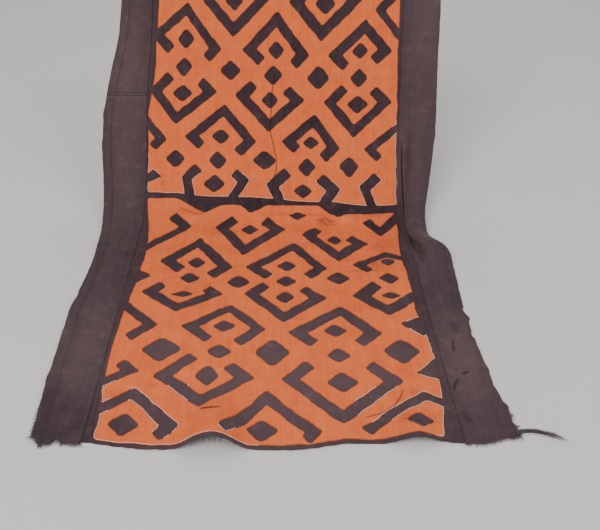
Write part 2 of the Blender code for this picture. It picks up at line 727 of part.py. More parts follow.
def triangle_area(points, triangle):
    """Signed area of a flat triangle."""
    (ax, ay), (bx, by), (cx, cy) = (points[k] for k in triangle)
    return 0.5 * ((bx - ax) * (cy - ay) - (cx - ax) * (by - ay))


def make_frayed_end():
    """The tapered end of twisted thread that trails from the front right corner over the floor."""
    body = bmesh.new()
    rings = []
    start_u = edge("cloth_right", 0.0)
    for r in range(FRAY_RINGS):
        share = r / (FRAY_RINGS - 1)
        radius = FRAY_ROOT + (FRAY_TIP - FRAY_ROOT) * share
        u = start_u + SEAM_GAP + FRAY_LENGTH * share
        v = FRAY_PLACE - FRAY_DROP * share + FRAY_BEND * math.sin(FRAY_BEND_TURN * share)
        ring = []
        for k in range(FRAY_SIDES):
            angle = 2 * math.pi * (k + 0.5) / FRAY_SIDES
            place = row_point(u, v + radius * math.cos(angle), radius * (1 + math.sin(angle)))
            ring.append(body.verts.new(place))
        rings.append(ring)
    for near, far in zip(rings, rings[1:]):
        for k in range(FRAY_SIDES):
            n = (k + 1) % FRAY_SIDES
            body.faces.new((near[k], near[n], far[n], far[k]))
    body.faces.new(list(reversed(rings[0])))
    body.faces.new(rings[-1])
    bmesh.ops.recalc_face_normals(body, faces=body.faces)
    bmesh.ops.triangulate(body, faces=body.faces)
    mesh = bpy.data.meshes.new("frayed_end")
    body.to_mesh(mesh)
    body.free()
    mesh.materials.append(material("frayed_thread"))
    thing = bpy.data.objects.new("frayed_end", mesh)
    bpy.context.scene.collection.objects.link(thing)
    return thing


def main():
    """Builds the cloth."""
    clear_scene()
    make_ground()
    make_left_border("border_left_lower", -HEM_LIP, BORDER_JOIN)
    make_left_border("border_left_upper", BORDER_JOIN + SEAM_GAP, CLOTH_LENGTH)
    make_right_border()
    make_cutwork("lower")
    make_cutwork("upper")
    make_frayed_end()


main()
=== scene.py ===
"""Looks of a kuba raffia cloth: its woven cloths, cut-work, sewing, frayed hems, floor, light and camera.

Flat cloth places are (u, v) in metres: u to the right of the field's middle line, v up from the front hem.
Lengths are metres and angles are radians. Each sheet of cloth is meshed flat, then laid on the draped line.
"""

import math
import random
from collections import namedtuple

import bpy
import numpy as np
from bpy.props import FloatProperty, FloatVectorProperty, PointerProperty
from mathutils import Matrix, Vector, kdtree, noise
from mathutils.geometry import delaunay_2d_cdt


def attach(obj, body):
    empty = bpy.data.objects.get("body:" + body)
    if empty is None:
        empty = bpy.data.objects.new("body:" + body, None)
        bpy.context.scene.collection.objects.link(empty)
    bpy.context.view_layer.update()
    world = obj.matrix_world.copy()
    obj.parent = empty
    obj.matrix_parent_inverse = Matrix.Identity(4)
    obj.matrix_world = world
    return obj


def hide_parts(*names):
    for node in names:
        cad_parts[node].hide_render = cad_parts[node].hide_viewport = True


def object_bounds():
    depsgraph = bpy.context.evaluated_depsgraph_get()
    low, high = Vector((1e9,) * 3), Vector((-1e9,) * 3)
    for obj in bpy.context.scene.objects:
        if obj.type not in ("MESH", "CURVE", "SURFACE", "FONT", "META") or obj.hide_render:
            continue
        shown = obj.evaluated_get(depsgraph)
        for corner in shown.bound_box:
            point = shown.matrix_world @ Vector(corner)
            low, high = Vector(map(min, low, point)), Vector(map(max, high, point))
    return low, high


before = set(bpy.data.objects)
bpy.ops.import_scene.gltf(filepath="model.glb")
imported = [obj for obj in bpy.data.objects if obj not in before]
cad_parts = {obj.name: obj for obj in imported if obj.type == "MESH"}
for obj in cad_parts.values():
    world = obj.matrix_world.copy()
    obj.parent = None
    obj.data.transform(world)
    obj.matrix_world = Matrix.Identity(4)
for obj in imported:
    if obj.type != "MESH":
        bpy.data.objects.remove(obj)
CAD_LOW, CAD_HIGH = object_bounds()

bl_info = {
    "name": "Kuba raffia cloth",
    "version": (1, 0, 0),
    "blender": (4, 5, 0),
    "location": "View3D > Sidebar > Raffia cloth",
    "description": "Builds a draped raffia cloth with a cut-work field and dark borders",
    "category": "Add Mesh",
}

BODY = "root"


def table(columns, *rows):
    """Rows whose columns are read by name."""
    kind = namedtuple("Row", columns)
    return tuple(kind(*row) for row in rows)


# The cut edges of the field and the outer edges of the borders, hem to top
EDGES = table(
    "v field_left field_right cloth_left cloth_right",
    (0.000, -0.246, 0.235, -0.334, 0.342),
    (0.060, -0.247, 0.246, -0.337, 0.333),
    (0.105, -0.254, 0.250, -0.339, 0.329),
    (0.180, -0.256, 0.251, -0.342, 0.324),
    (0.264, -0.252, 0.242, -0.344, 0.324),
    (0.340, -0.244, 0.245, -0.339, 0.329),
    (0.425, -0.241, 0.240, -0.336, 0.333),
    (0.480, -0.245, 0.245, -0.339, 0.335),
    (0.580, -0.257, 0.254, -0.347, 0.337),
    (0.700, -0.260, 0.256, -0.356, 0.338),
    (0.770, -0.260, 0.258, -0.353, 0.339),
    (0.850, -0.250, 0.257, -0.342, 0.339),
    (0.930, -0.250, 0.256, -0.330, 0.338),
    (1.190, -0.248, 0.256, -0.320, 0.332),
)

# Where the two panels of the field end, left to right: the dark band shows between them
PANEL_ENDS = table(
    "u lower_top upper_bottom",
    (-0.300, 0.589, 0.606),
    (-0.197, 0.591, 0.600),
    (-0.139, 0.554, 0.594),
    (-0.105, 0.574, 0.592),
    (-0.065, 0.573, 0.594),
    (-0.047, 0.553, 0.592),
    (-0.014, 0.572, 0.589),
    (0.060, 0.573, 0.581),
    (0.093, 0.571, 0.581),
    (0.131, 0.537, 0.579),
    (0.149, 0.551, 0.576),
    (0.194, 0.551, 0.571),
    (0.300, 0.556, 0.574),
)
LOWER_START = 0.001
UPPER_END = 1.140
BAND_PLACE = 0.580

# How far the front hem is drawn forward of its plain line
HEM = table(
    "u forward",
    (-0.334, -0.010),
    (-0.318, 0.002),
    (-0.262, 0.000),
    (-0.236, 0.004),
    (-0.205, 0.009),
    (-0.173, 0.013),
    (-0.030, 0.013),
    (0.023, 0.014),
    (0.049, 0.012),
    (0.097, 0.003),
    (0.169, 0.003),
    (0.235, 0.001),
    (0.266, 0.003),
    (0.300, 0.000),
    (0.342, -0.009),
)
HEM_REACH = 0.100

# How far the left side is drawn in towards the middle, going up the cloth
DRAWN_IN = table(
    "v by",
    (0.770, 0.000),
    (0.850, 0.007),
    (0.930, 0.017),
    (1.000, 0.024),
    (1.190, 0.028),
)
DRAWN_FROM = 0.080
DRAWN_OVER = 0.220

# Places where the front hem stands off the floor in an arch
ARCHES = table(
    "u half_width height reach",
    (-0.083, 0.060, 0.030, 0.105),
    (0.196, 0.050, 0.014, 0.080),
)

# Soft tucks across the cloth where it leaves the floor
TUCKS = table(
    "u_start u_end v half_width height",
    (-0.215, -0.125, 0.548, 0.016, 0.0040),
    (-0.045, 0.185, 0.540, 0.016, 0.0050),
)
TUCK_FADE = 0.030

# Creases and ripples: rise is up for a ridge and down for a trough, and dirt darkens its line with painted
# shade
CREASE = "points half_width rise dirt"
CREASES = table(
    CREASE,
    (((0.012, 0.885), (0.003, 0.850), (-0.002, 0.808), (-0.004, 0.770), (-0.006, 0.737),
            (0.002, 0.700), (0.008, 0.663), (0.001, 0.630), (-0.001, 0.590), (-0.002, 0.535)),
           0.0012, -0.0006, 1.00),
    (((0.004, 0.640), (0.024, 0.655), (0.050, 0.662)), 0.0016, -0.0005, 0.30),
    (((-0.062, 0.531), (-0.020, 0.533), (0.060, 0.531), (0.084, 0.531)), 0.0020, -0.0010, 0.10),
    (((0.084, 0.536), (0.095, 0.531), (0.104, 0.538), (0.114, 0.529), (0.127, 0.533)),
           0.0028, -0.0010, 0.55),
    (((0.090, 0.526), (0.101, 0.530), (0.108, 0.521), (0.120, 0.523), (0.129, 0.518)),
           0.0026, -0.0009, 0.45),
    (((0.051, 0.5772), (0.058, 0.5782), (0.066, 0.5768)), 0.0024, -0.0008, 1.00),
    (((-0.196, 0.570), (-0.176, 0.561), (-0.160, 0.551), (-0.152, 0.546)), 0.0020, -0.0012, 0.40),
    (((-0.166, 0.545), (-0.153, 0.549), (-0.138, 0.554)), 0.0020, -0.0010, 0.50),
    (((-0.106, 0.049), (-0.090, 0.047), (-0.072, 0.049)), 0.0024, -0.0012, 1.00),
    (((0.122, 0.035), (0.165, 0.050), (0.184, 0.070), (0.195, 0.096)), 0.0015, -0.0010, 0.75),
    (((0.178, 0.030), (0.196, 0.026), (0.212, 0.018)), 0.0022, -0.0010, 0.40),
    (((0.120, 0.405), (0.165, 0.398), (0.210, 0.404), (0.246, 0.396)), 0.0100, 0.0022, 0.0),
    (((0.126, 0.368), (0.160, 0.376), (0.205, 0.372)), 0.0040, -0.0010, 0.25),
    (((-0.200, 0.500), (-0.100, 0.486), (0.020, 0.494), (0.140, 0.484)), 0.0300, 0.0026, 0.0),
    (((-0.020, 0.430), (0.090, 0.446), (0.240, 0.436)), 0.0240, 0.0024, 0.0),
    (((-0.240, 0.420), (-0.150, 0.436), (-0.060, 0.420)), 0.0260, 0.0020, 0.0),
    (((-0.220, 0.250), (-0.120, 0.262), (-0.010, 0.250)), 0.0320, 0.0016, 0.0),
    (((0.050, 0.240), (0.150, 0.256), (0.240, 0.246)), 0.0300, 0.0018, 0.0),
    (((0.060, 0.100), (0.140, 0.118), (0.230, 0.112)), 0.0280, 0.0018, 0.0),
    (((-0.200, 0.120), (-0.110, 0.134), (-0.030, 0.124)), 0.0280, 0.0018, 0.0),
    (((0.266, -0.004), (0.257, 0.040), (0.253, 0.120), (0.252, 0.220), (0.255, 0.330)),
           0.0016, 0.0013, 0.0),
    (((-0.251, -0.004), (-0.254, 0.050), (-0.259, 0.105)), 0.0016, 0.0010, 0.20),
)

# Dents, slits and ripples of the right border, where u is read along the cloth and not through its pleat
BORDER_CREASES = table(
    CREASE,
    # Painted shadow that the pleat's overhanging edge casts along its valley
    (((0.2685, 0.740), (0.2675, 0.640), (0.2665, 0.560), (0.2665, 0.500), (0.269, 0.456), (0.279, 0.430),
            (0.298, 0.416)), 0.0022, -0.0008, 1.00),
    (((0.289, 0.198), (0.287, 0.182), (0.284, 0.166)), 0.0026, -0.0010, 0.75),
    (((0.282, 0.112), (0.276, 0.105), (0.270, 0.096), (0.267, 0.084)), 0.0026, -0.0012, 0.80),
    (((0.286, 0.118), (0.292, 0.122), (0.299, 0.125)), 0.0030, -0.0010, 0.85),
    (((0.332, 0.234), (0.326, 0.216), (0.320, 0.194)), 0.0055, -0.0014, 0.60),
    (((0.295, 0.240), (0.297, 0.222), (0.295, 0.206)), 0.0110, -0.0016, 0.30),
    (((0.270, 0.052), (0.273, 0.040), (0.277, 0.028)), 0.0070, -0.0014, 0.45),
    (((0.312, 0.066), (0.320, 0.048), (0.326, 0.034)), 0.0080, 0.0018, 0.0),
    (((0.275, 0.340), (0.300, 0.352), (0.330, 0.346)), 0.0140, 0.0022, 0.0),
    (((0.280, 0.010), (0.300, 0.016), (0.330, 0.010)), 0.0100, 0.0020, 0.0),
    (((-0.332, 0.010), (-0.310, 0.018), (-0.286, 0.012)), 0.0100, 0.0018, 0.0),
    (((-0.340, 0.205), (-0.310, 0.206), (-0.272, 0.205)), 0.0022, 0.0006, 0.15),
    (((-0.340, 0.143), (-0.310, 0.144), (-0.272, 0.143)), 0.0022, 0.0006, 0.15),
    (((-0.345, 0.420), (-0.310, 0.436), (-0.270, 0.430)), 0.0220, 0.0020, 0.0),
)

# Stains: soft patches of a redder or darker dye
PATCH = "u v half_wide half_high strength"
STAINS = table(
    PATCH,
    (0.182, 0.396, 0.028, 0.018, 1.00),
    (0.205, 0.385, 0.045, 0.024, 0.45),
    (0.206, 0.548, 0.036, 0.018, 0.60),
    (0.106, 0.528, 0.028, 0.016, 0.75),
    (-0.170, 0.557, 0.034, 0.014, 0.35),
    (0.190, 0.030, 0.036, 0.020, 0.45),
    (0.205, 0.085, 0.016, 0.012, 0.40),
    (0.215, 0.450, 0.045, 0.070, 0.45),
)

# Patches of the dark cloth that are darker than the rest, or paler with a strength below nought: black
# smears, painted shade where the cloth bends off the floor, and painted sheen where it lies on the floor
SHADES = table(
    PATCH,
    # Painted shade where the cloth bends off the floor
    (-0.060, 0.560, 0.230, 0.090, 0.60),
    (0.170, 0.540, 0.130, 0.100, 0.70),
    (-0.150, 0.450, 0.130, 0.070, 0.35),
    (0.020, 0.800, 0.300, 0.200, 0.15),
    (0.070, 0.768, 0.070, 0.040, 0.55),
    (0.215, 0.825, 0.034, 0.030, 0.60),
    (0.045, 0.905, 0.060, 0.040, 0.35),
    (-0.180, 0.170, 0.110, 0.080, -0.12),
    (0.180, 0.150, 0.110, 0.080, -0.16),
    (0.262, 0.600, 0.028, 0.260, -0.40),
    (-0.300, 0.200, 0.060, 0.240, -0.25),
    (0.300, 0.160, 0.050, 0.180, -0.30),
    (0.295, 0.400, 0.060, 0.120, -0.15),
    (-0.300, 0.560, 0.080, 0.200, -0.20),
    # Painted sheen where the cloth lies on the floor
    (0.000, 0.120, 0.460, 0.260, -0.46),
    (0.310, 1.040, 0.090, 0.540, -0.43),
    (0.300, 0.600, 0.070, 0.260, -0.18),
    (-0.310, 0.840, 0.090, 0.360, -0.40),
    (-0.310, 0.020, 0.080, 0.110, 0.40),
)

# The pleat down the right border: how far it is folded at each place up the cloth
PLEAT = table(
    "v fold",
    (0.400, 0.00),
    (0.430, 0.45),
    (0.455, 0.90),
    (0.480, 1.08),
    (0.550, 0.98),
    (0.620, 0.66),
    (0.700, 0.36),
    (0.765, 0.00),
)
PLEAT_START = 0.006
PLEAT_WIDTH = 0.036
PLEAT_TURN = math.radians(155.0)
PLEAT_FALL = math.radians(24.0)
PLEAT_EASE = 0.012

# Sewn ridges of the borders, by how far out from the seam they run
RIDGE = "place half_width rise"
LEFT_RIDGES = table(RIDGE, (0.0032, 0.0026, 0.0012), (0.0094, 0.0016, 0.0006), (0.0152, 0.0024, 0.0010))
RIGHT_RIDGES = table(RIDGE, (0.0030, 0.0026, 0.0011))
TOP_STITCH_INSET = 0.018

# Steps and nicks of the outer edges and the hem: out is how far the cloth reaches past its plain edge
NICK = "place out half_width"
NICKS = {
    "right": table(
        NICK,
        (0.246, 0.0045, 0.014),
        (0.268, -0.0020, 0.008),
        (0.205, -0.0020, 0.012),
        (0.128, 0.0020, 0.012),
        (0.096, -0.0020, 0.009),
        (0.052, 0.0035, 0.014),
        (0.022, -0.0030, 0.010),
    ),
    "left": table(
        NICK,
        (0.110, 0.0015, 0.020),
        (0.300, -0.0015, 0.020),
    ),
    "hem": table(
        NICK,
        (-0.297, -0.0080, 0.008),
        (-0.318, 0.0030, 0.012),
        (-0.270, 0.0020, 0.012),
        (0.288, 0.0020, 0.014),
        (0.318, -0.0030, 0.012),
    ),
}

# The hooked chevrons, two to a figure. Way is 1 for one that points up and -1 for one that points down.
# Its tip and its two outer corners are places on the flat cloth, and wide and high are half its lozenge.
CHEVRON = "figure way tip_u tip_v left_u left_v right_u right_v stroke hook_left hook_right wide high"
CHEVRONS = {
    "upper": table(
        CHEVRON,
        (1, 1, -0.076, 1.128, -0.146, 1.066, -0.004, 1.064, 0.019, 0.042, 0.042, 0.0165, 0.0160),
        (1, -1, -0.081, 0.924, -0.148, 1.000, -0.006, 0.998, 0.019, 0.042, 0.042, 0.0165, 0.0165),
        (2, 1, 0.104, 1.128, 0.034, 1.066, 0.178, 1.066, 0.019, 0.042, 0.042, 0.0165, 0.0165),
        (2, -1, 0.098, 0.916, 0.032, 0.993, 0.180, 0.996, 0.020, 0.042, 0.042, 0.0185, 0.0190),
        (3, 1, 0.275, 1.126, 0.206, 1.062, 0.345, 1.062, 0.018, 0.042, 0.042, 0.0, 0.0),
        (3, -1, 0.255, 0.918, 0.206, 0.978, 0.330, 0.985, 0.014, 0.044, 0.042, 0.0, 0.0),
        (4, 1, -0.181, 0.991, -0.263, 0.930, -0.106, 0.900, 0.018, 0.055, 0.036, 0.0175, 0.0175),
        (4, -1, -0.202, 0.748, -0.260, 0.819, -0.116, 0.815, 0.018, 0.052, 0.040, 0.0190, 0.0155),
        (5, 1, 0.009, 0.974, -0.062, 0.899, 0.075, 0.887, 0.019, 0.044, 0.036, 0.0150, 0.0160),
        (5, -1, -0.009, 0.732, -0.078, 0.808, 0.065, 0.798, 0.019, 0.044, 0.041, 0.0160, 0.0160),
        (6, 1, 0.188, 0.960, 0.113, 0.887, 0.243, 0.897, 0.019, 0.042, 0.040, 0.0150, 0.0155),
        (6, -1, 0.167, 0.720, 0.105, 0.794, 0.247, 0.794, 0.018, 0.052, 0.046, 0.0205, 0.0165),
        (7, 1, -0.100, 0.790, -0.184, 0.724, -0.035, 0.712, 0.018, 0.040, 0.044, 0.0175, 0.0140),
        (7, -1, -0.151, 0.456, -0.190, 0.638, -0.049, 0.630, 0.019, 0.038, 0.036, 0.0205, 0.0185),
        (8, 1, 0.087, 0.769, 0.017, 0.713, 0.140, 0.697, 0.019, 0.036, 0.040, 0.0155, 0.0130),
        (8, -1, 0.046, 0.470, -0.013, 0.621, 0.139, 0.610, 0.021, 0.050, 0.048, 0.0175, 0.0155),
        (9, 1, 0.275, 0.763, 0.189, 0.695, 0.360, 0.690, 0.015, 0.036, 0.036, 0.0, 0.0),
        (9, -1, 0.220, 0.480, 0.178, 0.616, 0.370, 0.616, 0.020, 0.043, 0.043, 0.0, 0.0),
        (10, 1, -0.285, 0.797, -0.350, 0.720, -0.222, 0.717, 0.016, 0.032, 0.032, 0.0, 0.0),
        (10, -1, -0.305, 0.604, -0.345, 0.637, -0.231, 0.637, 0.016, 0.026, 0.026, 0.0, 0.0),
    ),
    "lower": table(
        CHEVRON,
        (11, -1, -0.262, 0.417, -0.355, 0.535, -0.160, 0.518, 0.018, 0.050, 0.050, 0.0, 0.0),
        (12, -1, -0.057, 0.423, -0.115, 0.515, 0.025, 0.506, 0.020, 0.044, 0.048, 0.0165, 0.0165),
        (13, -1, 0.122, 0.402, 0.055, 0.487, 0.184, 0.459, 0.020, 0.038, 0.040, 0.0135, 0.0150),
        (14, -1, 0.212, 0.484, 0.180, 0.527, 0.275, 0.557, 0.019, 0.0, 0.030, 0.0, 0.0),
        (15, 1, -0.141, 0.477, -0.210, 0.404, -0.073, 0.384, 0.020, 0.048, 0.045, 0.0150, 0.0150),
        (15, -1, -0.164, 0.260, -0.231, 0.315, -0.087, 0.308, 0.018, 0.040, 0.034, 0.0180, 0.0080),
        (16, 1, 0.041, 0.462, -0.051, 0.385, 0.100, 0.381, 0.018, 0.050, 0.043, 0.0165, 0.0145),
        (16, -1, 0.018, 0.234, -0.051, 0.310, 0.093, 0.297, 0.018, 0.046, 0.046, 0.0160, 0.0155),
        (17, 1, 0.212, 0.431, 0.146, 0.392, 0.280, 0.404, 0.014, 0.036, 0.0, 0.0130, 0.0095),
        (17, -1, 0.195, 0.250, 0.137, 0.304, 0.275, 0.312, 0.021, 0.056, 0.0, 0.0155, 0.0090),
        (18, 1, -0.262, 0.300, -0.335, 0.225, -0.190, 0.229, 0.017, 0.050, 0.052, 0.0, 0.0),
        (18, -1, -0.275, 0.080, -0.340, 0.126, -0.204, 0.126, 0.016, 0.036, 0.036, 0.0, 0.0),
        (19, 1, -0.071, 0.280, -0.151, 0.227, -0.012, 0.218, 0.016, 0.056, 0.054, 0.0175, 0.0130),
        (19, -1, -0.104, 0.053, -0.181, 0.115, -0.028, 0.111, 0.018, 0.070, 0.046, 0.0, 0.0),
        (20, 1, 0.115, 0.275, 0.024, 0.211, 0.178, 0.209, 0.019, 0.048, 0.046, 0.0175, 0.0140),
        (20, -1, 0.100, 0.026, 0.012, 0.109, 0.196, 0.104, 0.018, 0.053, 0.058, 0.0220, 0.0175),
        (21, 1, 0.300, 0.282, 0.211, 0.231, 0.390, 0.231, 0.030, 0.045, 0.045, 0.0, 0.0),
        (21, -1, 0.300, 0.085, 0.218, 0.121, 0.390, 0.121, 0.028, 0.045, 0.045, 0.0, 0.0),
        (22, 1, -0.205, 0.092, -0.290, 0.036, -0.131, 0.031, 0.017, 0.034, 0.034, 0.0, 0.0),
        (23, 1, -0.010, 0.086, -0.075, 0.0165, 0.069, 0.019, 0.016, 0.0, 0.025, 0.0, 0.0),
        (24, 1, 0.222, 0.084, 0.124, 0.021, 0.300, 0.042, 0.015, 0.018, 0.030, 0.0, 0.0),
    ),
}

# The lozenges that stand off their figure's middle, most of them where the figures' diagonals cross
CROSSING = "u v wide high"
CROSSINGS = {
    "upper": table(
        CROSSING,
        (0.008, 1.032, 0.0200, 0.0200),
        (0.188, 1.030, 0.0200, 0.0200),
        (-0.183, 1.036, 0.0200, 0.0200),
        (-0.087, 0.858, 0.0195, 0.0190),
        (0.093, 0.843, 0.0220, 0.0215),
        (-0.203, 0.677, 0.0185, 0.0180),
        (-0.018, 0.672, 0.0225, 0.0185),
        (0.158, 0.658, 0.0190, 0.0200),
    ),
    "lower": table(
        CROSSING,
        (0.050, 0.544, 0.0170, 0.0105),
        (-0.250, 0.358, 0.0270, 0.0200),
        (-0.062, 0.341, 0.0200, 0.0170),
        (0.118, 0.352, 0.0200, 0.0170),
        (-0.177, 0.172, 0.0295, 0.0250),
        (-0.001, 0.165, 0.0260, 0.0270),
        (0.203, 0.168, 0.0275, 0.0255),
        (-0.085, 0.167, 0.0175, 0.0145),
        (-0.099, 0.114, 0.0170, 0.0190),
        (-0.210, 0.029, 0.0210, 0.0175),
        (-0.016, 0.0235, 0.0210, 0.0150),
        (0.2065, 0.026, 0.0185, 0.0130),
    ),
}

# Proportions that every figure shares
MIDDLE_WIDE = 0.0175
MIDDLE_HIGH = {"upper": 0.0180, "lower": 0.0145}
HOOK_SLOPE = math.radians(44.0)
HOOK_WIDER = 1.10
LOZENGE_SHIFT = 0.07
LOZENGE_BLUNT = 0.14
CORNER_ROUND = 0.0040
LOZENGE_ROUND = 0.0045
PANEL_ROUND = 0.0060
MOST_ROUND = 0.42

# Where the sewing round the cut edges is pale thread, which paints a highlight along the panels' turned
# edges
PALE = "u_low u_high v_low v_high"
PALE_HIGHLIGHT_SEWING = {
    "upper": table(
        PALE,
        (-0.262, 0.262, 0.564, 0.607),
        (0.246, 0.262, 0.560, 0.760),
        (0.165, 0.262, 0.565, 0.640),
        (-0.030, 0.150, 0.585, 0.628),
        (-0.200, -0.030, 0.590, 0.645),
        (-0.262, -0.235, 0.600, 0.690),
    ),
    "lower": table(
        PALE,
        (-0.262, -0.236, 0.000, 0.110),
        (-0.262, -0.120, 0.000, 0.009),
        (-0.210, -0.125, 0.020, 0.096),
        (-0.150, -0.020, 0.000, 0.018),
        (0.120, 0.262, 0.030, 0.094),
        (0.222, 0.262, 0.000, 0.250),
    ),
}

# Places of frayed thread: along the hem from one u to the other, or up an outer edge
FRAYS = table(
    "side start end count length spread",
    ("hem", -0.334, -0.262, 420, 0.0070, 0.9),
    ("hem", -0.262, 0.262, 260, 0.0016, 0.7),
    ("hem", 0.262, 0.342, 320, 0.0060, 0.9),
    ("left", -0.004, 0.050, 130, 0.0048, 0.8),
    ("right", -0.004, 0.040, 110, 0.0050, 0.8),
    ("left", 0.050, 1.185, 280, 0.0022, 0.6),
    ("right", 0.040, 1.185, 280, 0.0022, 0.6),
)
FRAY_SEED = 11
FRAY_INSET = 0.0012
FRAY_REACH = -0.024
FRAY_POINTS = 4
FRAY_SIDES = 3
FRAY_TAPER = (1.0, 0.9, 0.7, 0.35)
FRAY_TURN = 0.6
FRAY_BEND = 0.5
FRAY_LENGTHS = (0.4, 1.5)
FRAY_HEIGHTS = (0.0003, 0.0013)
FRAY_RADII = (0.00013, 0.00024)
TRAIL_LENGTH = 0.068
TRAIL_STRANDS = 96
TRAIL_POINTS = 14
TRAIL_SIDES = 5
TRAIL_INSET = 0.006
TRAIL_TURN = 9.0
TRAIL_SHARES = (0.35, 1.0)
TRAIL_LOOSE = (0.0010, 0.0032)
TRAIL_END_LOOSE = 0.0034
TRAIL_RADII = (0.00020, 0.00034)

# Stitches round the cut edges, and the least length round an opening that has pale ones
STITCH_LENGTH = 0.0036
STITCH_GAP = 0.0008
STITCH_INSET = 0.0005
DARK_STITCH = 0.00045
PALE_STITCH = 0.00065
JOIN_STITCH = 0.00040
TOP_STITCH = 0.00035
STITCH_TAPER = (0.5, 1.0, 0.5)
STITCH_SIDES = 4
LEAST_PALE_EDGE = 0.20

# Stitches of the left border: two rows along its join, and one line up its outer edge
JOIN_STITCH_ROWS = (0.0016, -0.0040)
JOIN_STITCH_SPAN = (-0.348, -0.268)
JOIN_STITCH_PITCH = 0.0046
JOIN_STITCH_FORM = ((0.0, 0.0), (0.0014, 0.0004), (0.0030, 0.0))
JOIN_STITCH_TOP = 0.0013
JOIN_RISE = 0.0012
# The join's ridge, and a line of painted shadow beside it
JOIN_RIDGE, JOIN_SHADOW = table("place half_width", (0.0018, 0.0022), (0.0052, 0.0016))
JOIN_SHADOW_DARKNESS = 0.5
TOP_STITCH_PITCH = 0.0052
TOP_STITCH_FORM = (0.0, 0.0017, 0.0034)
TOP_STITCH_GROOVE = 0.0016
TOP_STITCH_BESIDE = 0.0012
# The groove of the top stitching, darkened with painted shade
GROOVE_DEPTH = 0.0005
GROOVE_SHADE = 0.60

# Slight unevenness of the cloths: how far they rise, and how fast that turns along u and v
FIELD_RIPPLE = 0.0006
FIELD_TURNS = (31.0, 9.0, 27.0)
BORDER_RIPPLE = 0.0005
BORDER_TURNS = (44.0, 17.0, 21.0)
EDGE_WAVE = 0.0045
EDGE_WAVE_TURNS = (23.0, 9.0)
EDGE_WAVE_START = 0.05

# How worn and cut edges wander: by how much, how fast along the edge, and the seed
WANDER = "amount turns seed"
GROUND_HEM, BORDER_HEM, BORDER_SIDE = table(
    WANDER,
    (0.0011, 90.0, 4.1),
    (0.0016, 110.0, 5.3),
    (0.0009, 60.0, 2.7),
)
HAND_CUT = table(WANDER, (2.2, 1.0, 0.37), (0.9, 3.1, 1.9))
MOTIF_TURNS = 55.0
PANEL_TURNS = 40.0

# The meshes: rows of points beside an edge, each with its least distance from it, and other least distances
EDGE_ROWS = ((0.0012, 0.0009), (0.0028, 0.0022))
LINE_CLEAR = 0.0016
GRID_CLEAR = 0.0034
ROW_SHARE = 0.87
MERGED = 0.00004
SHARP = math.radians(62)
LEAST_BIT = 0.0002
CURVE_STEP = 0.006
CREASE_STEP = 0.0022
NARROW_CREASE = 0.006
BORDER_LINE_STEP = 0.003
BORDER_ROW = 0.004
PLEAT_STEPS = 160
PLEAT_LINES = 15
FOLD_EASE = 5
JOIN_COLUMNS = (-0.35, -0.262, 0.003)
JOIN_ROWS = (0.0005, 0.0014, 0.0024, 0.0036, 0.0050)

# How thin a cloth is at its cut edge, as a share of its thickness, and how soon it is whole
GROUND_RIM = 0.60
TURNED_RIM = 0.35
TURNED_PUFF = 0.30
TURNED_WIDTH = 0.0016
BORDER_RIM = 0.55
RIM_WIDTH = 0.002
BORDER_WEAR = 0.6
WORN_LIGHTER = (0.016, 0.008)

# The stage
FLOOR_DROP = 0.0003
FLOOR_REACH = 6.0
FLOOR_COLOUR = (0.70, 0.69, 0.67, 1.0)
WORLD_COLOUR = (0.98, 0.97, 0.97, 1.0)
WORLD_STRENGTH = 0.57
LAMP_AIM = (0.0, -0.45, -0.35)
LAMPS = table(
    "name place size power colour",
    ("key", (-1.3, -2.4, 2.1), 1.8, 72.0, (1.0, 0.96, 0.92)),
    ("fill", (2.2, -1.6, 1.4), 1.8, 22.0, (0.95, 0.97, 1.0)),
    ("back", (0.3, 1.8, 1.8), 1.5, 14.0, (1.0, 1.0, 1.0)),
)

CAMERA_PLACE = (0.0, -1.4359, 0.1990)
CAMERA_DOWN = math.radians(34.7)
CAMERA_LENS = 40.68
CAMERA_SHIFT = (0.045, -0.05)


def metres(name, description, default):
    """A setting in metres."""
    return FloatProperty(name=name, description=description, default=default, unit="LENGTH")


def dye(name, description, *default):
    """A setting for a colour."""
    return FloatVectorProperty(
        name=name, description=description, default=(*default, 1.0), subtype="COLOR", size=4, min=0, max=1)


class RaffiaSizes(bpy.types.PropertyGroup):
    """Sizes of the cloth and of its mesh."""

    cloth_length: metres("Cloth length", "Hem to top edge, along the cloth", 1.190)
    laid_length: metres("Laid length", "How much of the cloth lies on the floor", 0.494)
    sweep_radius: metres("Sweep radius", "Radius of the bend where the cloth leaves the floor", 0.150)
    ground_thick: metres("Ground thickness", "Thickness of the dark ground cloth", 0.0013)
    cutwork_thick: metres("Cut-work thickness", "Thickness of the orange cut-work", 0.0010)
    border_thick: metres("Border thickness", "Thickness of the border cloth", 0.0015)
    layer_gap: metres("Layer gap", "Gap between the ground and the cut-work", 0.0002)
    seam_place: metres("Seam place", "From the middle line to the seams of the borders", 0.262)
    seam_gap: metres("Seam gap", "Gap between the edges that a seam joins", 0.00005)
    hem_lip: metres("Hem lip", "How far the ground reaches past the field's front edge", 0.005)
    border_join: metres("Border join", "Where the left border's two lengths are sewn together", 0.808)
    mesh_step: metres("Mesh step", "Distance between points of the cloth", 0.0050)
    edge_step: metres("Edge step", "Distance between points along a cut edge", 0.0026)
    unevenness: metres("Unevenness", "How far the hand-cut edges wander", 0.0009)
    thread_pitch: metres("Thread pitch", "Distance between threads of the weave", 0.0012)


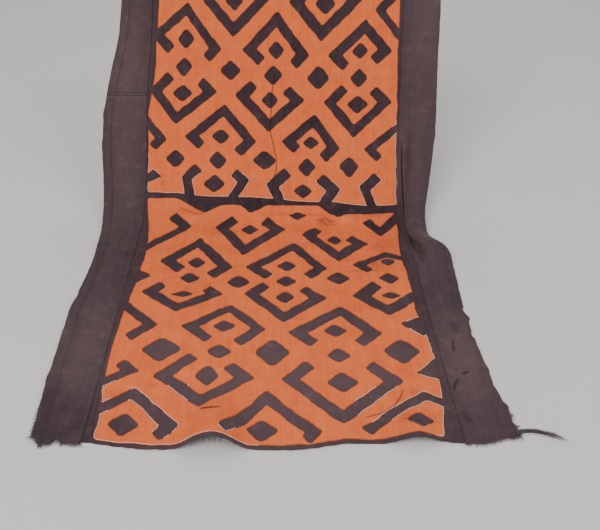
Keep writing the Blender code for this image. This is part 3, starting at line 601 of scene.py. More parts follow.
class RaffiaColours(bpy.types.PropertyGroup):
    """Colours of the raffia and the threads."""

    orange: dye("Orange", "Dyed cut-work", 0.885, 0.196, 0.054)
    orange_deep: dye("Deep orange", "Darker streaks of the cut-work", 0.720, 0.130, 0.037)
    orange_pale: dye("Pale orange", "Faded places of the cut-work", 0.930, 0.270, 0.112)
    orange_stain: dye("Stain", "Red stains on the cut-work", 0.460, 0.070, 0.036)
    dark: dye("Dark", "Ground and border cloth", 0.066, 0.038, 0.044)
    dark_deep: dye("Deep dark", "Darker streaks of the ground", 0.036, 0.021, 0.027)
    # Also the painted sheen where the ground lies on the floor
    dark_pale: dye("Pale dark", "Worn, greyer places of the ground", 0.160, 0.099, 0.107)
    # Also the painted shade of the dark cloth: at its bend, in its creases and at its cut edges
    dark_stain_and_shade: dye("Black", "Darkest places of the ground", 0.016, 0.009, 0.012)
    # Painted shade in the creases, and at the cut-work's cut edges
    dirt: dye("Dirt", "Lines of the creases", 0.060, 0.018, 0.014)
    sewing: dye("Sewing thread", "Dark thread round the cut edges", 0.120, 0.032, 0.022)
    sewing_light: dye("Light sewing", "Lighter lengths of that thread", 0.24, 0.065, 0.032)
    # Pale thread that paints a highlight along some turned edges
    pale_highlight_sewing: dye("Pale thread", "Undyed thread round some edges", 0.960, 0.740, 0.620)
    pale_highlight_sewing_deep: dye("Soiled pale thread", "Darker lengths of that thread", 0.78, 0.46, 0.34)
    frayed: dye("Frayed thread", "Loose threads of the hems", 0.088, 0.064, 0.070)
    frayed_deep: dye("Deep frayed thread", "Darker lengths of the loose threads", 0.046, 0.031, 0.037)
    join_sewing: dye("Join thread", "Worn pale thread of the border's join", 0.30, 0.24, 0.24)
    join_sewing_deep: dye("Deep join thread", "Darker lengths of that thread", 0.16, 0.12, 0.12)
    top_sewing: dye("Top thread", "Thread of the border's top stitching", 0.045, 0.030, 0.034)
    top_sewing_light: dye("Light top thread", "Lighter lengths of that thread", 0.10, 0.075, 0.08)


def sizes():
    """The sizes of the scene's cloth."""
    return bpy.context.scene.raffia_sizes


def colours():
    """The colours of the scene's cloth."""
    return bpy.context.scene.raffia_colours


def smooth(t):
    """0 to 1, level at both ends."""
    t = np.clip(t, 0.0, 1.0)
    return t * t * (3.0 - 2.0 * t)


def hump(t):
    """A round hump, 1 at the middle and 0 from 1 each way."""
    return np.cos(0.5 * np.pi * np.clip(t, -1.0, 1.0)) ** 2


def along(rows, key, place):
    """Reads one column of a table at places between its rows, by its first column."""
    return np.interp(place, [row[0] for row in rows], [getattr(row, key) for row in rows])


def unit(ways):
    """Directions, each made one long."""
    return ways / np.maximum(np.linalg.norm(ways, axis=1), 1e-12)[:, None]


def seam():
    """From the middle line to the borders' inner edges."""
    return sizes().seam_place + sizes().seam_gap


def outer_edge(side, v):
    """From the middle line to a border's plain outer edge: side is 1 on the right and -1 on the left."""
    return np.abs(along(EDGES, "cloth_right" if side > 0 else "cloth_left", v))


def wandering(places, wander, side=0.0):
    """How far a worn edge wanders at places along it."""
    return [wander.amount * noise.noise(Vector((at * wander.turns, side, wander.seed))) for at in places]


def sweep(v):
    """(y, z, turn) of the bare cloth line at v: level on the floor, then the curve of a hung chain."""
    laid, radius = sizes().laid_length, sizes().sweep_radius
    beyond = np.maximum(v - laid, 0.0)
    y = np.where(v > laid, radius * np.arcsinh(beyond / radius), v - laid)
    return y, np.hypot(radius, beyond) - radius, np.arctan2(beyond, radius)


def on_cloth(u, v, height):
    """Places in the frame of flat places, at a height off the plain line of the cloth."""
    forward = along(HEM, "forward", u) * hump(np.maximum(v, 0.0) / HEM_REACH)
    x = u + along(DRAWN_IN, "by", v) * smooth((-u - DRAWN_FROM) / DRAWN_OVER)
    y, z, turn = sweep(v - forward)
    top_y, top_z, _ = sweep(np.float64(sizes().cloth_length))
    return np.stack((x, y - top_y - np.sin(turn) * height, z - top_z + np.cos(turn) * height), axis=-1)


def curve_through(points, step):
    """Points about a step apart on a smooth curve through the given ones."""
    given = np.array(points, float)
    ends = np.vstack((2 * given[0] - given[1], given, 2 * given[-1] - given[-2]))
    found = [given[:1]]
    for k in range(1, len(ends) - 2):
        p0, p1, p2, p3 = ends[k - 1:k + 3]
        count = max(1, math.ceil(math.dist(p1, p2) / step))
        t = (np.arange(1, count + 1) / count)[:, None]
        found.append(0.5 * (2 * p1 + (p2 - p0) * t + (2 * p0 - 5 * p1 + 4 * p2 - p3) * t ** 2
                            + (3 * p1 - p0 - 3 * p2 + p3) * t ** 3))
    return np.vstack(found)


def across_line(line, u, v):
    """(distance from a line, how far along it) for each flat place."""
    places = np.stack((u, v), axis=-1)
    best = np.full(len(places), np.inf)
    reach = np.zeros(len(places))
    start = 0.0
    for a, b in zip(line, line[1:]):
        way = b - a
        length = math.hypot(*way)
        share = np.clip(((places - a) @ way) / length ** 2, 0.0, 1.0)
        apart = np.linalg.norm(places - a - share[:, None] * way, axis=1)
        nearer = apart < best
        best = np.where(nearer, apart, best)
        reach = np.where(nearer, start + share * length, reach)
        start += length
    return best, reach, start


def creased(creases, u, v):
    """(height, painted shade) that creases give to flat places: the painted shade darkens their lines."""
    height, dirt = np.zeros(len(u)), np.zeros(len(u))
    for crease in creases:
        points = np.array(crease.points)
        low, high = points.min(axis=0) - crease.half_width, points.max(axis=0) + crease.half_width
        near = np.flatnonzero((u > low[0]) & (u < high[0]) & (v > low[1]) & (v < high[1]))
        if not len(near):
            continue
        apart, reach, whole = across_line(curve_through(points, CURVE_STEP), u[near], v[near])
        fade = smooth(reach / (0.2 * whole)) * smooth((whole - reach) / (0.2 * whole))
        height[near] += crease.rise * hump(apart / crease.half_width) * fade
        dirt[near] = np.maximum(dirt[near], crease.dirt * hump(0.8 * apart / crease.half_width) * fade)
    return height, dirt


def stand_off(u, v):
    """(height, painted shade) of the field's cloth: hem arches, tucks, creases and slight unevenness, with
    painted shade along its creases.
    """
    height, dirt = creased(CREASES, u, v)
    for arch in ARCHES:
        height += arch.height * hump((u - arch.u) / arch.half_width) * hump(np.maximum(v, 0.0) / arch.reach)
    for tuck in TUCKS:
        fade = smooth((u - tuck.u_start) / TUCK_FADE) * smooth((tuck.u_end - u) / TUCK_FADE)
        height += tuck.height * fade * hump((v - tuck.v) / tuck.half_width)
    by_u, bent, by_v = FIELD_TURNS
    height += FIELD_RIPPLE * (1.0 + np.sin(by_u * u + 2.0 * np.sin(bent * v)) * np.sin(by_v * v + 1.1))
    return np.maximum(height, 0.0), dirt


def stained(patches, u, v):
    """How far soft patches reach each flat place: they add up, within -1 to 1."""
    found = np.zeros(len(u))
    for patch in patches:
        apart = np.hypot((u - patch.u) / patch.half_wide, (v - patch.v) / patch.half_high)
        found += patch.strength * (1.0 - smooth(apart))
    return np.clip(found, -1.0, 1.0)


def inside(ring, places):
    """True for each flat place that lies inside a closed outline."""
    found = np.zeros(len(places), bool)
    near = np.flatnonzero(((places >= ring.min(axis=0)) & (places <= ring.max(axis=0))).all(axis=1))
    x, y = places[near].T
    odd = np.zeros(len(near), bool)
    for (ax, ay), (bx, by) in zip(ring, np.roll(ring, -1, axis=0)):
        if ay != by:
            odd ^= ((ay > y) != (by > y)) & (x < ax + (bx - ax) * (y - ay) / (by - ay))
    found[near] = odd
    return found


def rounded(ring, radius):
    """A closed outline with its corners rounded."""
    found = []
    for before, corner, after in zip(np.roll(ring, 1, axis=0), ring, np.roll(ring, -1, axis=0)):
        back, ahead = before - corner, after - corner
        start = corner + back * min(MOST_ROUND, radius / max(math.hypot(*back), 1e-9))
        end = corner + ahead * min(MOST_ROUND, radius / max(math.hypot(*ahead), 1e-9))
        for t in (0.0, 0.25, 0.5, 0.75, 1.0):
            found.append(start * (1 - t) ** 2 + corner * 2 * t * (1 - t) + end * t ** 2)
    return np.array(found)


def lengths_round(ring):
    """(closed outline, how far round each of its points is)."""
    closed = np.vstack((ring, ring[:1]))
    return closed, np.concatenate(([0.0], np.cumsum(np.linalg.norm(np.diff(closed, axis=0), axis=1))))


def places_at(closed, lengths, at):
    """Flat places at distances round a closed outline."""
    return np.stack([np.interp(at, lengths, closed[:, axis]) for axis in (0, 1)], axis=-1)


def resampled(ring, step):
    """A closed outline with even points about a step apart."""
    closed, lengths = lengths_round(ring)
    count = max(8, round(lengths[-1] / step))
    return places_at(closed, lengths, np.arange(count) * lengths[-1] / count)


def outward(ring):
    """Unit directions square to a closed outline at each of its points."""
    way = unit(np.roll(ring, -1, axis=0) - np.roll(ring, 1, axis=0))
    return np.stack((way[:, 1], -way[:, 0]), axis=-1)


def hand_cut(ring, turns):
    """An outline whose edge wanders as a hand-cut one does."""
    push = np.zeros(len(ring))
    for wave in HAND_CUT:
        places = ring * turns * wave.turns
        push += wave.amount * np.array([noise.noise(Vector((x, y, wave.seed))) for x, y in places])
    return ring + outward(ring) * (sizes().unevenness * push)[:, None]


def tree_of(places):
    """A search tree over flat places."""
    tree = kdtree.KDTree(len(places))
    for k, (x, y) in enumerate(places):
        tree.insert((x, y, 0.0), k)
    tree.balance()
    return tree


def apart_from(tree, places):
    """How far each flat place is from the nearest one in a tree."""
    return np.array([tree.find((x, y, 0.0))[2] for x, y in places])


Sheet = namedtuple("Sheet", "places triangles rim cut_edge area")


def twice_areas(points, triangles):
    """Twice the area of each flat triangle, below nought for a clockwise one."""
    a, b, c = (points[triangles[:, k]] for k in range(3))
    return (b[:, 0] - a[:, 0]) * (c[:, 1] - a[:, 1]) - (c[:, 0] - a[:, 0]) * (b[:, 1] - a[:, 1])


def cut_sheet(outline, holes=(), lines=()):
    """Meshes a flat sheet inside an outline and outside its holes, finer along its edges and some lines."""
    step = sizes().mesh_step
    rings = [outline, *holes]

    def kept(places, skip=None):
        found = np.ones(len(places), bool) if skip == 0 else inside(outline, places)
        for k, hole in enumerate(holes, 1):
            if k != skip:
                found &= ~inside(hole, places)
        return found

    edge_tree = tree_of(np.vstack([ring[kept(ring, k)] for k, ring in enumerate(rings)]))
    layers = []
    for inset, clear in EDGE_ROWS:
        near = np.vstack([ring + side * inset * outward(ring) for ring in rings for side in (-1, 1)])
        near = near[kept(near)]
        layers.append(near[apart_from(edge_tree, near) > clear])
    for line in lines:
        line = line[kept(line)]
        if len(line):
            layers.append(line[apart_from(edge_tree, line) > LINE_CLEAR])
    fine = np.vstack(layers)
    low, high = outline.min(axis=0), outline.max(axis=0)
    rows, columns = np.arange(low[1], high[1], ROW_SHARE * step), np.arange(low[0], high[0], step)
    grid = np.array([(x + 0.5 * step * (r % 2), y) for r, y in enumerate(rows) for x in columns])
    grid = grid[kept(grid)]
    grid = grid[apart_from(edge_tree, grid) > GRID_CLEAR]
    grid = grid[apart_from(tree_of(fine), grid) > 0.5 * step]

    places, edges = [], []
    for ring in rings:
        first = len(places)
        places += [Vector(p) for p in ring]
        edges += [(first + k, first + (k + 1) % len(ring)) for k in range(len(ring))]
    places += [Vector(p) for p in fine] + [Vector(p) for p in grid]
    made = delaunay_2d_cdt(places, edges, [], 0, MERGED)
    points, triangles = np.array([tuple(p) for p in made[0]]), np.array(made[2])
    triangles = triangles[kept(points[triangles].mean(axis=1))]
    doubled = twice_areas(points, triangles)
    triangles[doubled < 0] = triangles[doubled < 0][:, ::-1]
    triangles = without_bits(triangles, 0.5 * np.abs(doubled), LEAST_BIT)
    used, order = np.unique(triangles, return_inverse=True)
    points, triangles = points[used], order.reshape(-1, 3)
    rim = rim_of(triangles)
    ends = points[rim]
    shares = np.linspace(0.0, 1.0, 4)[:, None, None]
    dense = (ends[:, 0] * (1 - shares) + ends[:, 1] * shares).reshape(-1, 2)
    cut_edge = apart_from(tree_of(dense), points)
    cut_edge[np.unique(rim)] = 0.0
    return Sheet(points, triangles, rim, cut_edge, float(0.5 * twice_areas(points, triangles).sum()))


def without_bits(triangles, areas, least):
    """The triangles whose connected part is at least that large."""
    group = np.arange(triangles.max() + 1)
    while True:
        lowest = group[triangles].min(axis=1)
        fresh = group.copy()
        for k in range(3):
            np.minimum.at(fresh, triangles[:, k], lowest)
        fresh = fresh[fresh]
        if (fresh == group).all():
            break
        group = fresh
    label = group[triangles[:, 0]]
    whole = np.bincount(label, weights=areas, minlength=len(group))
    return triangles[whole[label] >= least]


def rim_of(triangles):
    """The directed edges that only one triangle has: the sheet lies to their left."""
    edges = np.concatenate([triangles[:, [0, 1]], triangles[:, [1, 2]], triangles[:, [2, 0]]])
    back = {(b, a) for a, b in edges.tolist()}
    return np.array([pair for pair in edges.tolist() if tuple(pair) not in back])


def loops_of(rim):
    """Closed chains of rim points."""
    following = {}
    for a, b in rim.tolist():
        following.setdefault(a, []).append(b)
    loops = []
    while following:
        start = next(iter(following))
        loop = [start]
        while True:
            at = loop[-1]
            ahead = following[at].pop()
            if not following[at]:
                del following[at]
            if ahead == start or ahead not in following:
                break
            loop.append(ahead)
        if len(loop) > 3:
            loops.append(loop)
    return loops


def linked(name, data, place=(0.0, 0.0, 0.0), turn=(0.0, 0.0, 0.0)):
    """A new object in the scene."""
    thing = bpy.data.objects.new(name, data)
    thing.location, thing.rotation_euler = place, turn
    bpy.context.scene.collection.objects.link(thing)
    return thing


def new_object(name, points, faces, shade):
    """A mesh object with smooth shading, except where it turns sharply."""
    mesh = bpy.data.meshes.new(name)
    mesh.from_pydata(points.tolist(), [], faces)
    mesh.materials.append(shade)
    mesh.shade_smooth()
    mesh.set_sharp_from_angle(angle=SHARP)
    return linked(name, mesh)


def mark(thing, name, values):
    """Stores a number or a vector for each point of a mesh."""
    vector = values.ndim > 1
    made = thing.data.attributes.new(name, "FLOAT_VECTOR" if vector else "FLOAT", "POINT")
    made.data.foreach_set("vector" if vector else "value", values.astype(np.float32).ravel())


def sheet_object(name, sheet, bottom, top, dirt, patches, shade):
    """(object, flat sheet): the sheet, closed between bottom and top points, with its material's marks."""
    count = len(sheet.places)
    faces = sheet.triangles.tolist()
    faces += (sheet.triangles[:, ::-1] + count).tolist()
    faces += [(b, a, a + count, b + count) for a, b in sheet.rim.tolist()]
    thing = new_object(name, np.vstack((top, bottom)), faces, shade)
    flat = np.hstack((sheet.places, np.zeros((count, 1))))
    mark(thing, "flat_place", np.vstack((flat, flat)))
    mark(thing, "cut_edge", np.tile(sheet.cut_edge * 1000.0, 2))
    mark(thing, "dirt", np.tile(dirt, 2))
    mark(thing, "stain", np.tile(stained(patches, *sheet.places.T), 2))
    return thing, sheet


def crease_lines(creases):
    """Lines of points on and beside each narrow crease, so that the mesh can follow it."""
    lines = []
    for crease in creases:
        if crease.half_width <= NARROW_CREASE:
            line = curve_through(crease.points, CREASE_STEP)
            way = unit(np.gradient(line, axis=0))
            side = np.stack((way[:, 1], -way[:, 0]), axis=-1)
            lines += [line + side * crease.half_width * share for share in (-1.1, -0.5, 0.0, 0.5, 1.1)]
    return lines


def nicked(side, place):
    """How far the nicks of one side push its edge out."""
    found = np.zeros(len(place))
    for nick in NICKS[side]:
        found += nick.out * hump((place - nick.place) / nick.half_width)
    return found


def meeting(a, a_way, b, b_way):
    """Where the flat line through a along a_way meets the one through b along b_way."""
    cross = a_way[0] * b_way[1] - a_way[1] * b_way[0]
    reach = ((b[0] - a[0]) * b_way[1] - (b[1] - a[1]) * b_way[0]) / cross
    return (a[0] + a_way[0] * reach, a[1] + a_way[1] * reach)


def chevron_side(tip, corner, side, row, hook):
    """Points of one arm and its hook, outer corner to inner corner, and the arm's inner line."""
    tip, corner = np.array(tip), np.array(corner)
    arm = (corner - tip) / math.dist(corner, tip)
    arm_in = np.array((-side * abs(arm[1]), -row.way * abs(arm[0])))
    inner_line = (tip + arm_in * row.stroke, arm)
    if not hook:
        return [corner, corner + arm_in * row.stroke], inner_line
    cos, sin = math.cos(HOOK_SLOPE), math.sin(HOOK_SLOPE)
    hook_way = np.array((-side * cos, -row.way * sin))
    hook_in = np.array((-side * sin, row.way * cos)) * row.stroke * HOOK_WIDER
    inner_corner = meeting(*inner_line, corner + hook_in, hook_way)
    end = corner + hook_way * hook
    return [corner, end, end + hook_in, inner_corner], inner_line


def chevron(row):
    """Outline of one hooked chevron on the flat cloth."""
    tip = (row.tip_u, row.tip_v)
    right, right_line = chevron_side(tip, (row.right_u, row.right_v), 1, row, row.hook_right)
    left, left_line = chevron_side(tip, (row.left_u, row.left_v), -1, row, row.hook_left)
    inner_tip = meeting(*right_line, *left_line)
    return np.array([tip, *right, inner_tip, *reversed(left)])


def lozenge_place(row):
    """The middle of a chevron's own lozenge: between its corners, a little towards its tip."""
    u, v = 0.5 * (row.left_u + row.right_u), 0.5 * (row.left_v + row.right_v)
    return np.array((u + LOZENGE_SHIFT * (row.tip_u - u), v + LOZENGE_SHIFT * (row.tip_v - v)))


def lozenge(place, wide, high):
    """Outline of a lozenge with blunt corners."""
    points = []
    for x, y in ((1, 0), (0, 1), (-1, 0), (0, -1)):
        for turn in (-1, 1):
            points.append((wide * (x - turn * y * LOZENGE_BLUNT), high * (y + turn * x * LOZENGE_BLUNT)))
    return np.array(points) + place


def motifs(panel):
    """Outlines of every opening in one panel: rounded, and cut by hand."""
    rings = []
    above = {}
    for row in CHEVRONS[panel]:
        rings.append((chevron(row), CORNER_ROUND))
        if not row.wide:
            continue
        place = lozenge_place(row)
        rings.append((lozenge(place, row.wide, row.high), LOZENGE_ROUND))
        if row.figure in above:
            middle = 0.5 * (above[row.figure] + place)
            rings.append((lozenge(middle, MIDDLE_WIDE, MIDDLE_HIGH[panel]), LOZENGE_ROUND))
        above[row.figure] = place
    for row in CROSSINGS[panel]:
        rings.append((lozenge((row.u, row.v), row.wide, row.high), LOZENGE_ROUND))
    step = sizes().edge_step
    return [hand_cut(resampled(rounded(ring, radius), step), MOTIF_TURNS) for ring, radius in rings]


def panel_side(key, low_v, high_v):
    """One side edge of a panel, from its foot to its top."""
    between = [row.v for row in EDGES if low_v + 0.01 < row.v < high_v - 0.01]
    return [(float(along(EDGES, key, v)), float(v)) for v in [low_v, *between, high_v]]


def panel_outline(panel):
    """The cut edge of one panel of the field."""
    at_band, plain = {"lower": ("lower_top", LOWER_START), "upper": ("upper_bottom", UPPER_END)}[panel]
    sides = []
    for key in ("field_left", "field_right"):
        corner = along(PANEL_ENDS, at_band, along(EDGES, key, BAND_PLACE))
        sides.append(panel_side(key, *sorted((plain, corner))))
    left, right = sides
    ends = [[(0.0, plain)], [(row.u, getattr(row, at_band)) for row in PANEL_ENDS[1:-1]]]
    low, high = ends if panel == "lower" else reversed(ends)
    ring = np.array([left[0], *low, *right, *high[::-1], *left[:0:-1]])
    return hand_cut(resampled(rounded(ring, PANEL_ROUND), sizes().edge_step), PANEL_TURNS)


def worn_edge(cut_edge, rim):
    """Share of its thickness that a cloth has, by how far it is from its cut edge."""
    return rim + (1.0 - rim) * smooth(cut_edge / RIM_WIDTH)


def turned_edge(cut_edge):
    """Height of a cloth's top by how far it is from its turned edge, as a share of its thickness."""
    puff = TURNED_PUFF * hump((cut_edge - TURNED_WIDTH) / 0.0026)
    body = TURNED_RIM + (1.0 - TURNED_RIM) * smooth(cut_edge / TURNED_WIDTH)
    return body + puff * smooth(cut_edge / 0.0010)


def make_ground():
    """The dark cloth under the field."""
    half = sizes().seam_place
    low, high = -sizes().hem_lip, sizes().cloth_length
    ring = resampled(np.array([(-half, low), (half, low), (half, high), (-half, high)]), sizes().edge_step)
    hem = ring[:, 1] < low + 1e-6
    ring[hem, 1] += wandering(ring[hem, 0], GROUND_HEM)
    sheet = cut_sheet(ring, lines=crease_lines(CREASES))
    u, v = sheet.places.T
    height, dirt = stand_off(u, v)
    top = height + sizes().ground_thick * worn_edge(sheet.cut_edge, GROUND_RIM)
    return sheet_object("ground_weave", sheet, on_cloth(u, v, height), on_cloth(u, v, top), dirt, SHADES,
                        dark_raffia("ground raffia", 0.0))


def make_panel(panel):
    """One panel of orange cut-work."""
    sheet = cut_sheet(panel_outline(panel), motifs(panel), crease_lines(CREASES))
    u, v = sheet.places.T
    height, dirt = stand_off(u, v)
    low = height + sizes().ground_thick + sizes().layer_gap
    top = low + sizes().cutwork_thick * turned_edge(sheet.cut_edge)
    return sheet_object(f"cutwork_{panel}_cloth", sheet, on_cloth(u, v, low), on_cloth(u, v, top), dirt,
                        STAINS, orange_raffia())


def edge_wave(side, share, v):
    """The small waves of a border's outer edge, off the floor or the plain line."""
    fast, slow = EDGE_WAVE_TURNS
    wave = 0.5 + 0.5 * np.sin(fast * v + 1.3 * side) * np.cos(slow * v + 0.4)
    return EDGE_WAVE * share ** 2 * wave * smooth(v / EDGE_WAVE_START)


def pleat_paths(widths, folds):
    """Across the right border at each row: grids of (x, height, slope) over even steps from the seam."""
    s = (np.arange(PLEAT_STEPS) + 0.5)[None, :] * widths[:, None] / PLEAT_STEPS
    turn = PLEAT_TURN * np.sin(np.pi * np.clip((s - PLEAT_START) / PLEAT_WIDTH, 0, 1)) ** 2
    fall = -PLEAT_FALL * smooth((s - PLEAT_START - PLEAT_WIDTH) / PLEAT_EASE)
    slope = folds[:, None] * (turn + fall)
    step = widths[:, None] / PLEAT_STEPS
    none = np.zeros((len(widths), 1))
    x = np.hstack((none, np.cumsum(np.cos(slope) * step, axis=1)))
    height = np.hstack((none, np.cumsum(np.sin(slope) * step, axis=1)))
    return x, height, np.hstack((none, slope))


def border_ring(side, start, end):
    """Flat outline of a border: its inner edge at the seam, and its worn outer edge and ends."""
    rows = np.linspace(start, end, max(2, round((end - start) / BORDER_ROW)))
    outer = outer_edge(side, rows) + nicked("right" if side > 0 else "left", rows)
    outer += wandering(rows, BORDER_SIDE, side)
    inner = np.stack((np.full(len(rows), seam()), rows), axis=-1)[::-1]
    ring = resampled(np.vstack((inner, np.stack((outer, rows), axis=-1))), sizes().edge_step)
    if start < 0.0:
        hem = ring[:, 1] < start + 1e-6
        ring[hem, 1] -= nicked("hem", side * ring[hem, 0]) + wandering(ring[hem, 0], BORDER_HEM, side)
    ring[:, 0] *= side
    return ring[::-1] if side < 0 else ring


def top_stitch(side, v):
    """How far out from the seam the line of top stitching runs."""
    return outer_edge(side, v) - sizes().seam_place - TOP_STITCH_INSET


def line_at(side, out, start, end, on_stitching=False):
    """Points up a border, at a distance out from its seam or from its line of top stitching."""
    rows = np.arange(start, end, BORDER_LINE_STEP)
    out = top_stitch(side, rows) + out if on_stitching else np.full(len(rows), out)
    return np.stack((side * (seam() + out), rows), axis=-1)


def border_lines(side, ridges, start, end):
    """Lines of points that a border's ridges and creases need."""
    lines = crease_lines(BORDER_CREASES)
    for ridge in ridges:
        for share in (-1.0, -0.5, 0.0, 0.5, 1.0):
            lines.append(line_at(side, ridge.place + share * ridge.half_width, start, end))
    beside = (-TOP_STITCH_BESIDE, 0.0, TOP_STITCH_BESIDE)
    return lines + [line_at(side, out, start, end, True) for out in beside]


def border_relief(side, ridges, u, v):
    """(height of the underside, extra height of the top, painted shade in its creases and its top
    stitching's groove) of a border at flat places.
    """
    height, dirt = creased(BORDER_CREASES, u, v)
    out = np.abs(u) - sizes().seam_place - sizes().seam_gap
    width = outer_edge(side, v) - sizes().seam_place
    height += edge_wave(side, np.clip(out / width, 0.0, 1.0), v)
    raised = np.zeros(len(u))
    for ridge in ridges:
        raised += ridge.rise * hump((out - ridge.place) / ridge.half_width)
    if side < 0:
        groove = hump((out - top_stitch(side, v)) / TOP_STITCH_GROOVE)
        raised -= GROOVE_DEPTH * groove
        # Painted shade in the groove of the top stitching
        dirt = np.maximum(dirt, GROOVE_SHADE * groove)
    by_u, bent, by_v = BORDER_TURNS
    height += BORDER_RIPPLE * (1.0 + np.sin(by_u * u + bent * v) * np.sin(by_v * v + 0.6))
    return np.maximum(height, 0.0), raised, dirt


def make_border(name, side, ridges, start, end, lines, place, join_rise=0.0):
    """One length of border with its ridges, and a turned end where its lower end is joined on."""
    sheet = cut_sheet(border_ring(side, start, end), lines=border_lines(side, ridges, start, end) + lines)
    u, v = sheet.places.T
    height, raised, dirt = border_relief(side, ridges, u, v)
    if join_rise:
        raised += join_rise * hump((v - start - JOIN_RIDGE.place) / JOIN_RIDGE.half_width)
        # Painted shadow beside the join's ridge
        dirt = np.maximum(dirt, JOIN_SHADOW_DARKNESS * hump((v - start - JOIN_SHADOW.place) / JOIN_SHADOW.half_width))
    top = height + (sizes().border_thick * worn_edge(sheet.cut_edge, BORDER_RIM) + raised)
    return sheet_object(name, sheet, place(u, v, height), place(u, v, top), dirt, SHADES,
                        dark_raffia("border raffia", BORDER_WEAR))


def make_left_border(name, start, end, join_rise=0.0):
    """One length of the left border."""
    columns = np.arange(*JOIN_COLUMNS)
    lines = [np.stack((columns, np.full(len(columns), start + up)), axis=-1) for up in JOIN_ROWS]
    return make_border(name, -1, LEFT_RIDGES, start, end, lines, on_cloth, join_rise)


def on_right_border(u, v, off):
    """Places in the frame on the right border, whose cloth runs through its pleat."""
    rows = np.arange(-0.012, sizes().cloth_length + 0.01, BORDER_ROW)
    widths = outer_edge(1, rows) - seam() + 0.010
    window = np.hanning(2 * FOLD_EASE + 3)
    folds = np.pad(along(PLEAT, "fold", rows), FOLD_EASE, mode="edge")
    folds = np.convolve(folds, window[1:-1] / window.sum(), "valid")
    x, height, slope = pleat_paths(widths, folds)
    row = np.clip((v - rows[0]) / BORDER_ROW, 0, len(rows) - 1.001)
    column = np.clip((u - seam()) / np.interp(v, rows, widths) * PLEAT_STEPS, 0, PLEAT_STEPS - 0.001)
    r, c = row.astype(int), column.astype(int)
    t, s = row - r, column - c

    def read(grid):
        near = grid[r, c] * (1 - s) + grid[r, c + 1] * s
        far = grid[r + 1, c] * (1 - s) + grid[r + 1, c + 1] * s
        return near * (1 - t) + far * t

    tilt = read(slope)
    return on_cloth(seam() + read(x) - np.sin(tilt) * off, v, read(height) + np.cos(tilt) * off)


def make_right_border():
    """The right border, with its pleat."""
    outs = [PLEAT_START + PLEAT_WIDTH * k / PLEAT_LINES for k in range(PLEAT_LINES + 1)]
    lines = [line_at(1, out, PLEAT[0].v, PLEAT[-1].v) for out in outs]
    return make_border("right_border_cloth", 1, RIGHT_RIDGES, -sizes().hem_lip, sizes().cloth_length, lines,
                       on_right_border)


def threads(name, paths, radii, sides, shade):
    """One mesh of many short threads, each a tapered tube along its own points."""
    points, faces = [], []
    turn = 2 * np.pi * np.arange(sides) / sides
    cos, sin = np.cos(turn)[:, None], np.sin(turn)[:, None]
    for path, radius in zip(paths, radii):
        count = len(path)
        way = unit(np.gradient(path, axis=0))
        guide = np.array((0.31, 0.17, 0.93)) if abs(way[0][2]) < 0.9 else np.array((0.95, 0.2, 0.1))
        across = unit(np.cross(way, guide))
        up = np.cross(across, way)
        first = len(points) * sides
        for k in range(count):
            points.append(path[k] + (cos * across[k] + sin * up[k]) * radius[k])
        for a in range(first, first + (count - 1) * sides, sides):
            for s in range(sides):
                n = (s + 1) % sides
                faces.append((a + s, a + n, a + sides + n, a + sides + s))
        faces.append(tuple(first + s for s in reversed(range(sides))))
        faces.append(tuple(first + (count - 1) * sides + s for s in range(sides)))
    return new_object(name, np.vstack(points), faces, shade)


def sew(name, paths, radius, shade):
    """One piece of stitches, each thickest in its middle."""
    radii = [np.array(STITCH_TAPER) * radius] * len(paths)
    return declare(threads(name, paths, radii, STITCH_SIDES, shade))


def is_pale_highlight(panel, u, v):
    """True where the sewing round the cut edges is pale, as a painted highlight."""
    return any(row.u_low <= u <= row.u_high and row.v_low <= v <= row.v_high for row in PALE_HIGHLIGHT_SEWING[panel])


def edge_stitches(panel, sheet):
    """Paths of the stitches that lie along a panel's cut edges, as (dark ones, pale ones that paint a
    highlight).
    """
    dark, pale = [], []
    for loop in loops_of(sheet.rim):
        closed, lengths = lengths_round(sheet.places[loop])
        count = int(lengths[-1] / (STITCH_LENGTH + STITCH_GAP))
        if count < 2:
            continue
        pitch = lengths[-1] / count
        large = lengths[-1] > LEAST_PALE_EDGE
        for k in range(count):
            line = places_at(closed, lengths, k * pitch + np.array((0.0, 0.5, 1.0)) * (pitch - STITCH_GAP))
            way = line[2] - line[0]
            way /= max(math.hypot(*way), 1e-9)
            line += np.array((-way[1], way[0])) * np.array((0.0, STITCH_INSET, 1.6 * STITCH_INSET))[:, None]
            (pale if large and is_pale_highlight(panel, *line[1]) else dark).append(line)
    base = sizes().ground_thick + sizes().layer_gap + 0.75 * sizes().cutwork_thick
    found = []
    for lines, radius in ((dark, DARK_STITCH), (pale, PALE_STITCH)):
        flat = np.vstack(lines)
        height, _ = stand_off(*flat.T)
        lift = np.tile(np.array((0.35, 1.0, 0.5)), len(lines)) * radius
        found.append(list(on_cloth(*flat.T, height + base + lift).reshape(-1, 3, 3)))
    return found


def hem_point(fray, share, jitter):
    """(flat place, outward direction, 1 on the right or -1 on the left) of a frayed thread's root."""
    place = fray.start + (fray.end - fray.start) * share
    if fray.side == "hem":
        push = nicked("hem", np.array([place]))[0] if abs(place) > sizes().seam_place else 0.0
        root = np.array((place, -sizes().hem_lip - push + FRAY_INSET))
        return root, np.array((0.25 * jitter, -1.0)), 1.0 if place > 0 else -1.0
    side = 1.0 if fray.side == "right" else -1.0
    out = float(outer_edge(side, place)) + nicked(fray.side, np.array([place]))[0]
    return np.array((side * (out - FRAY_INSET), place)), np.array((side, 0.3 * jitter)), side


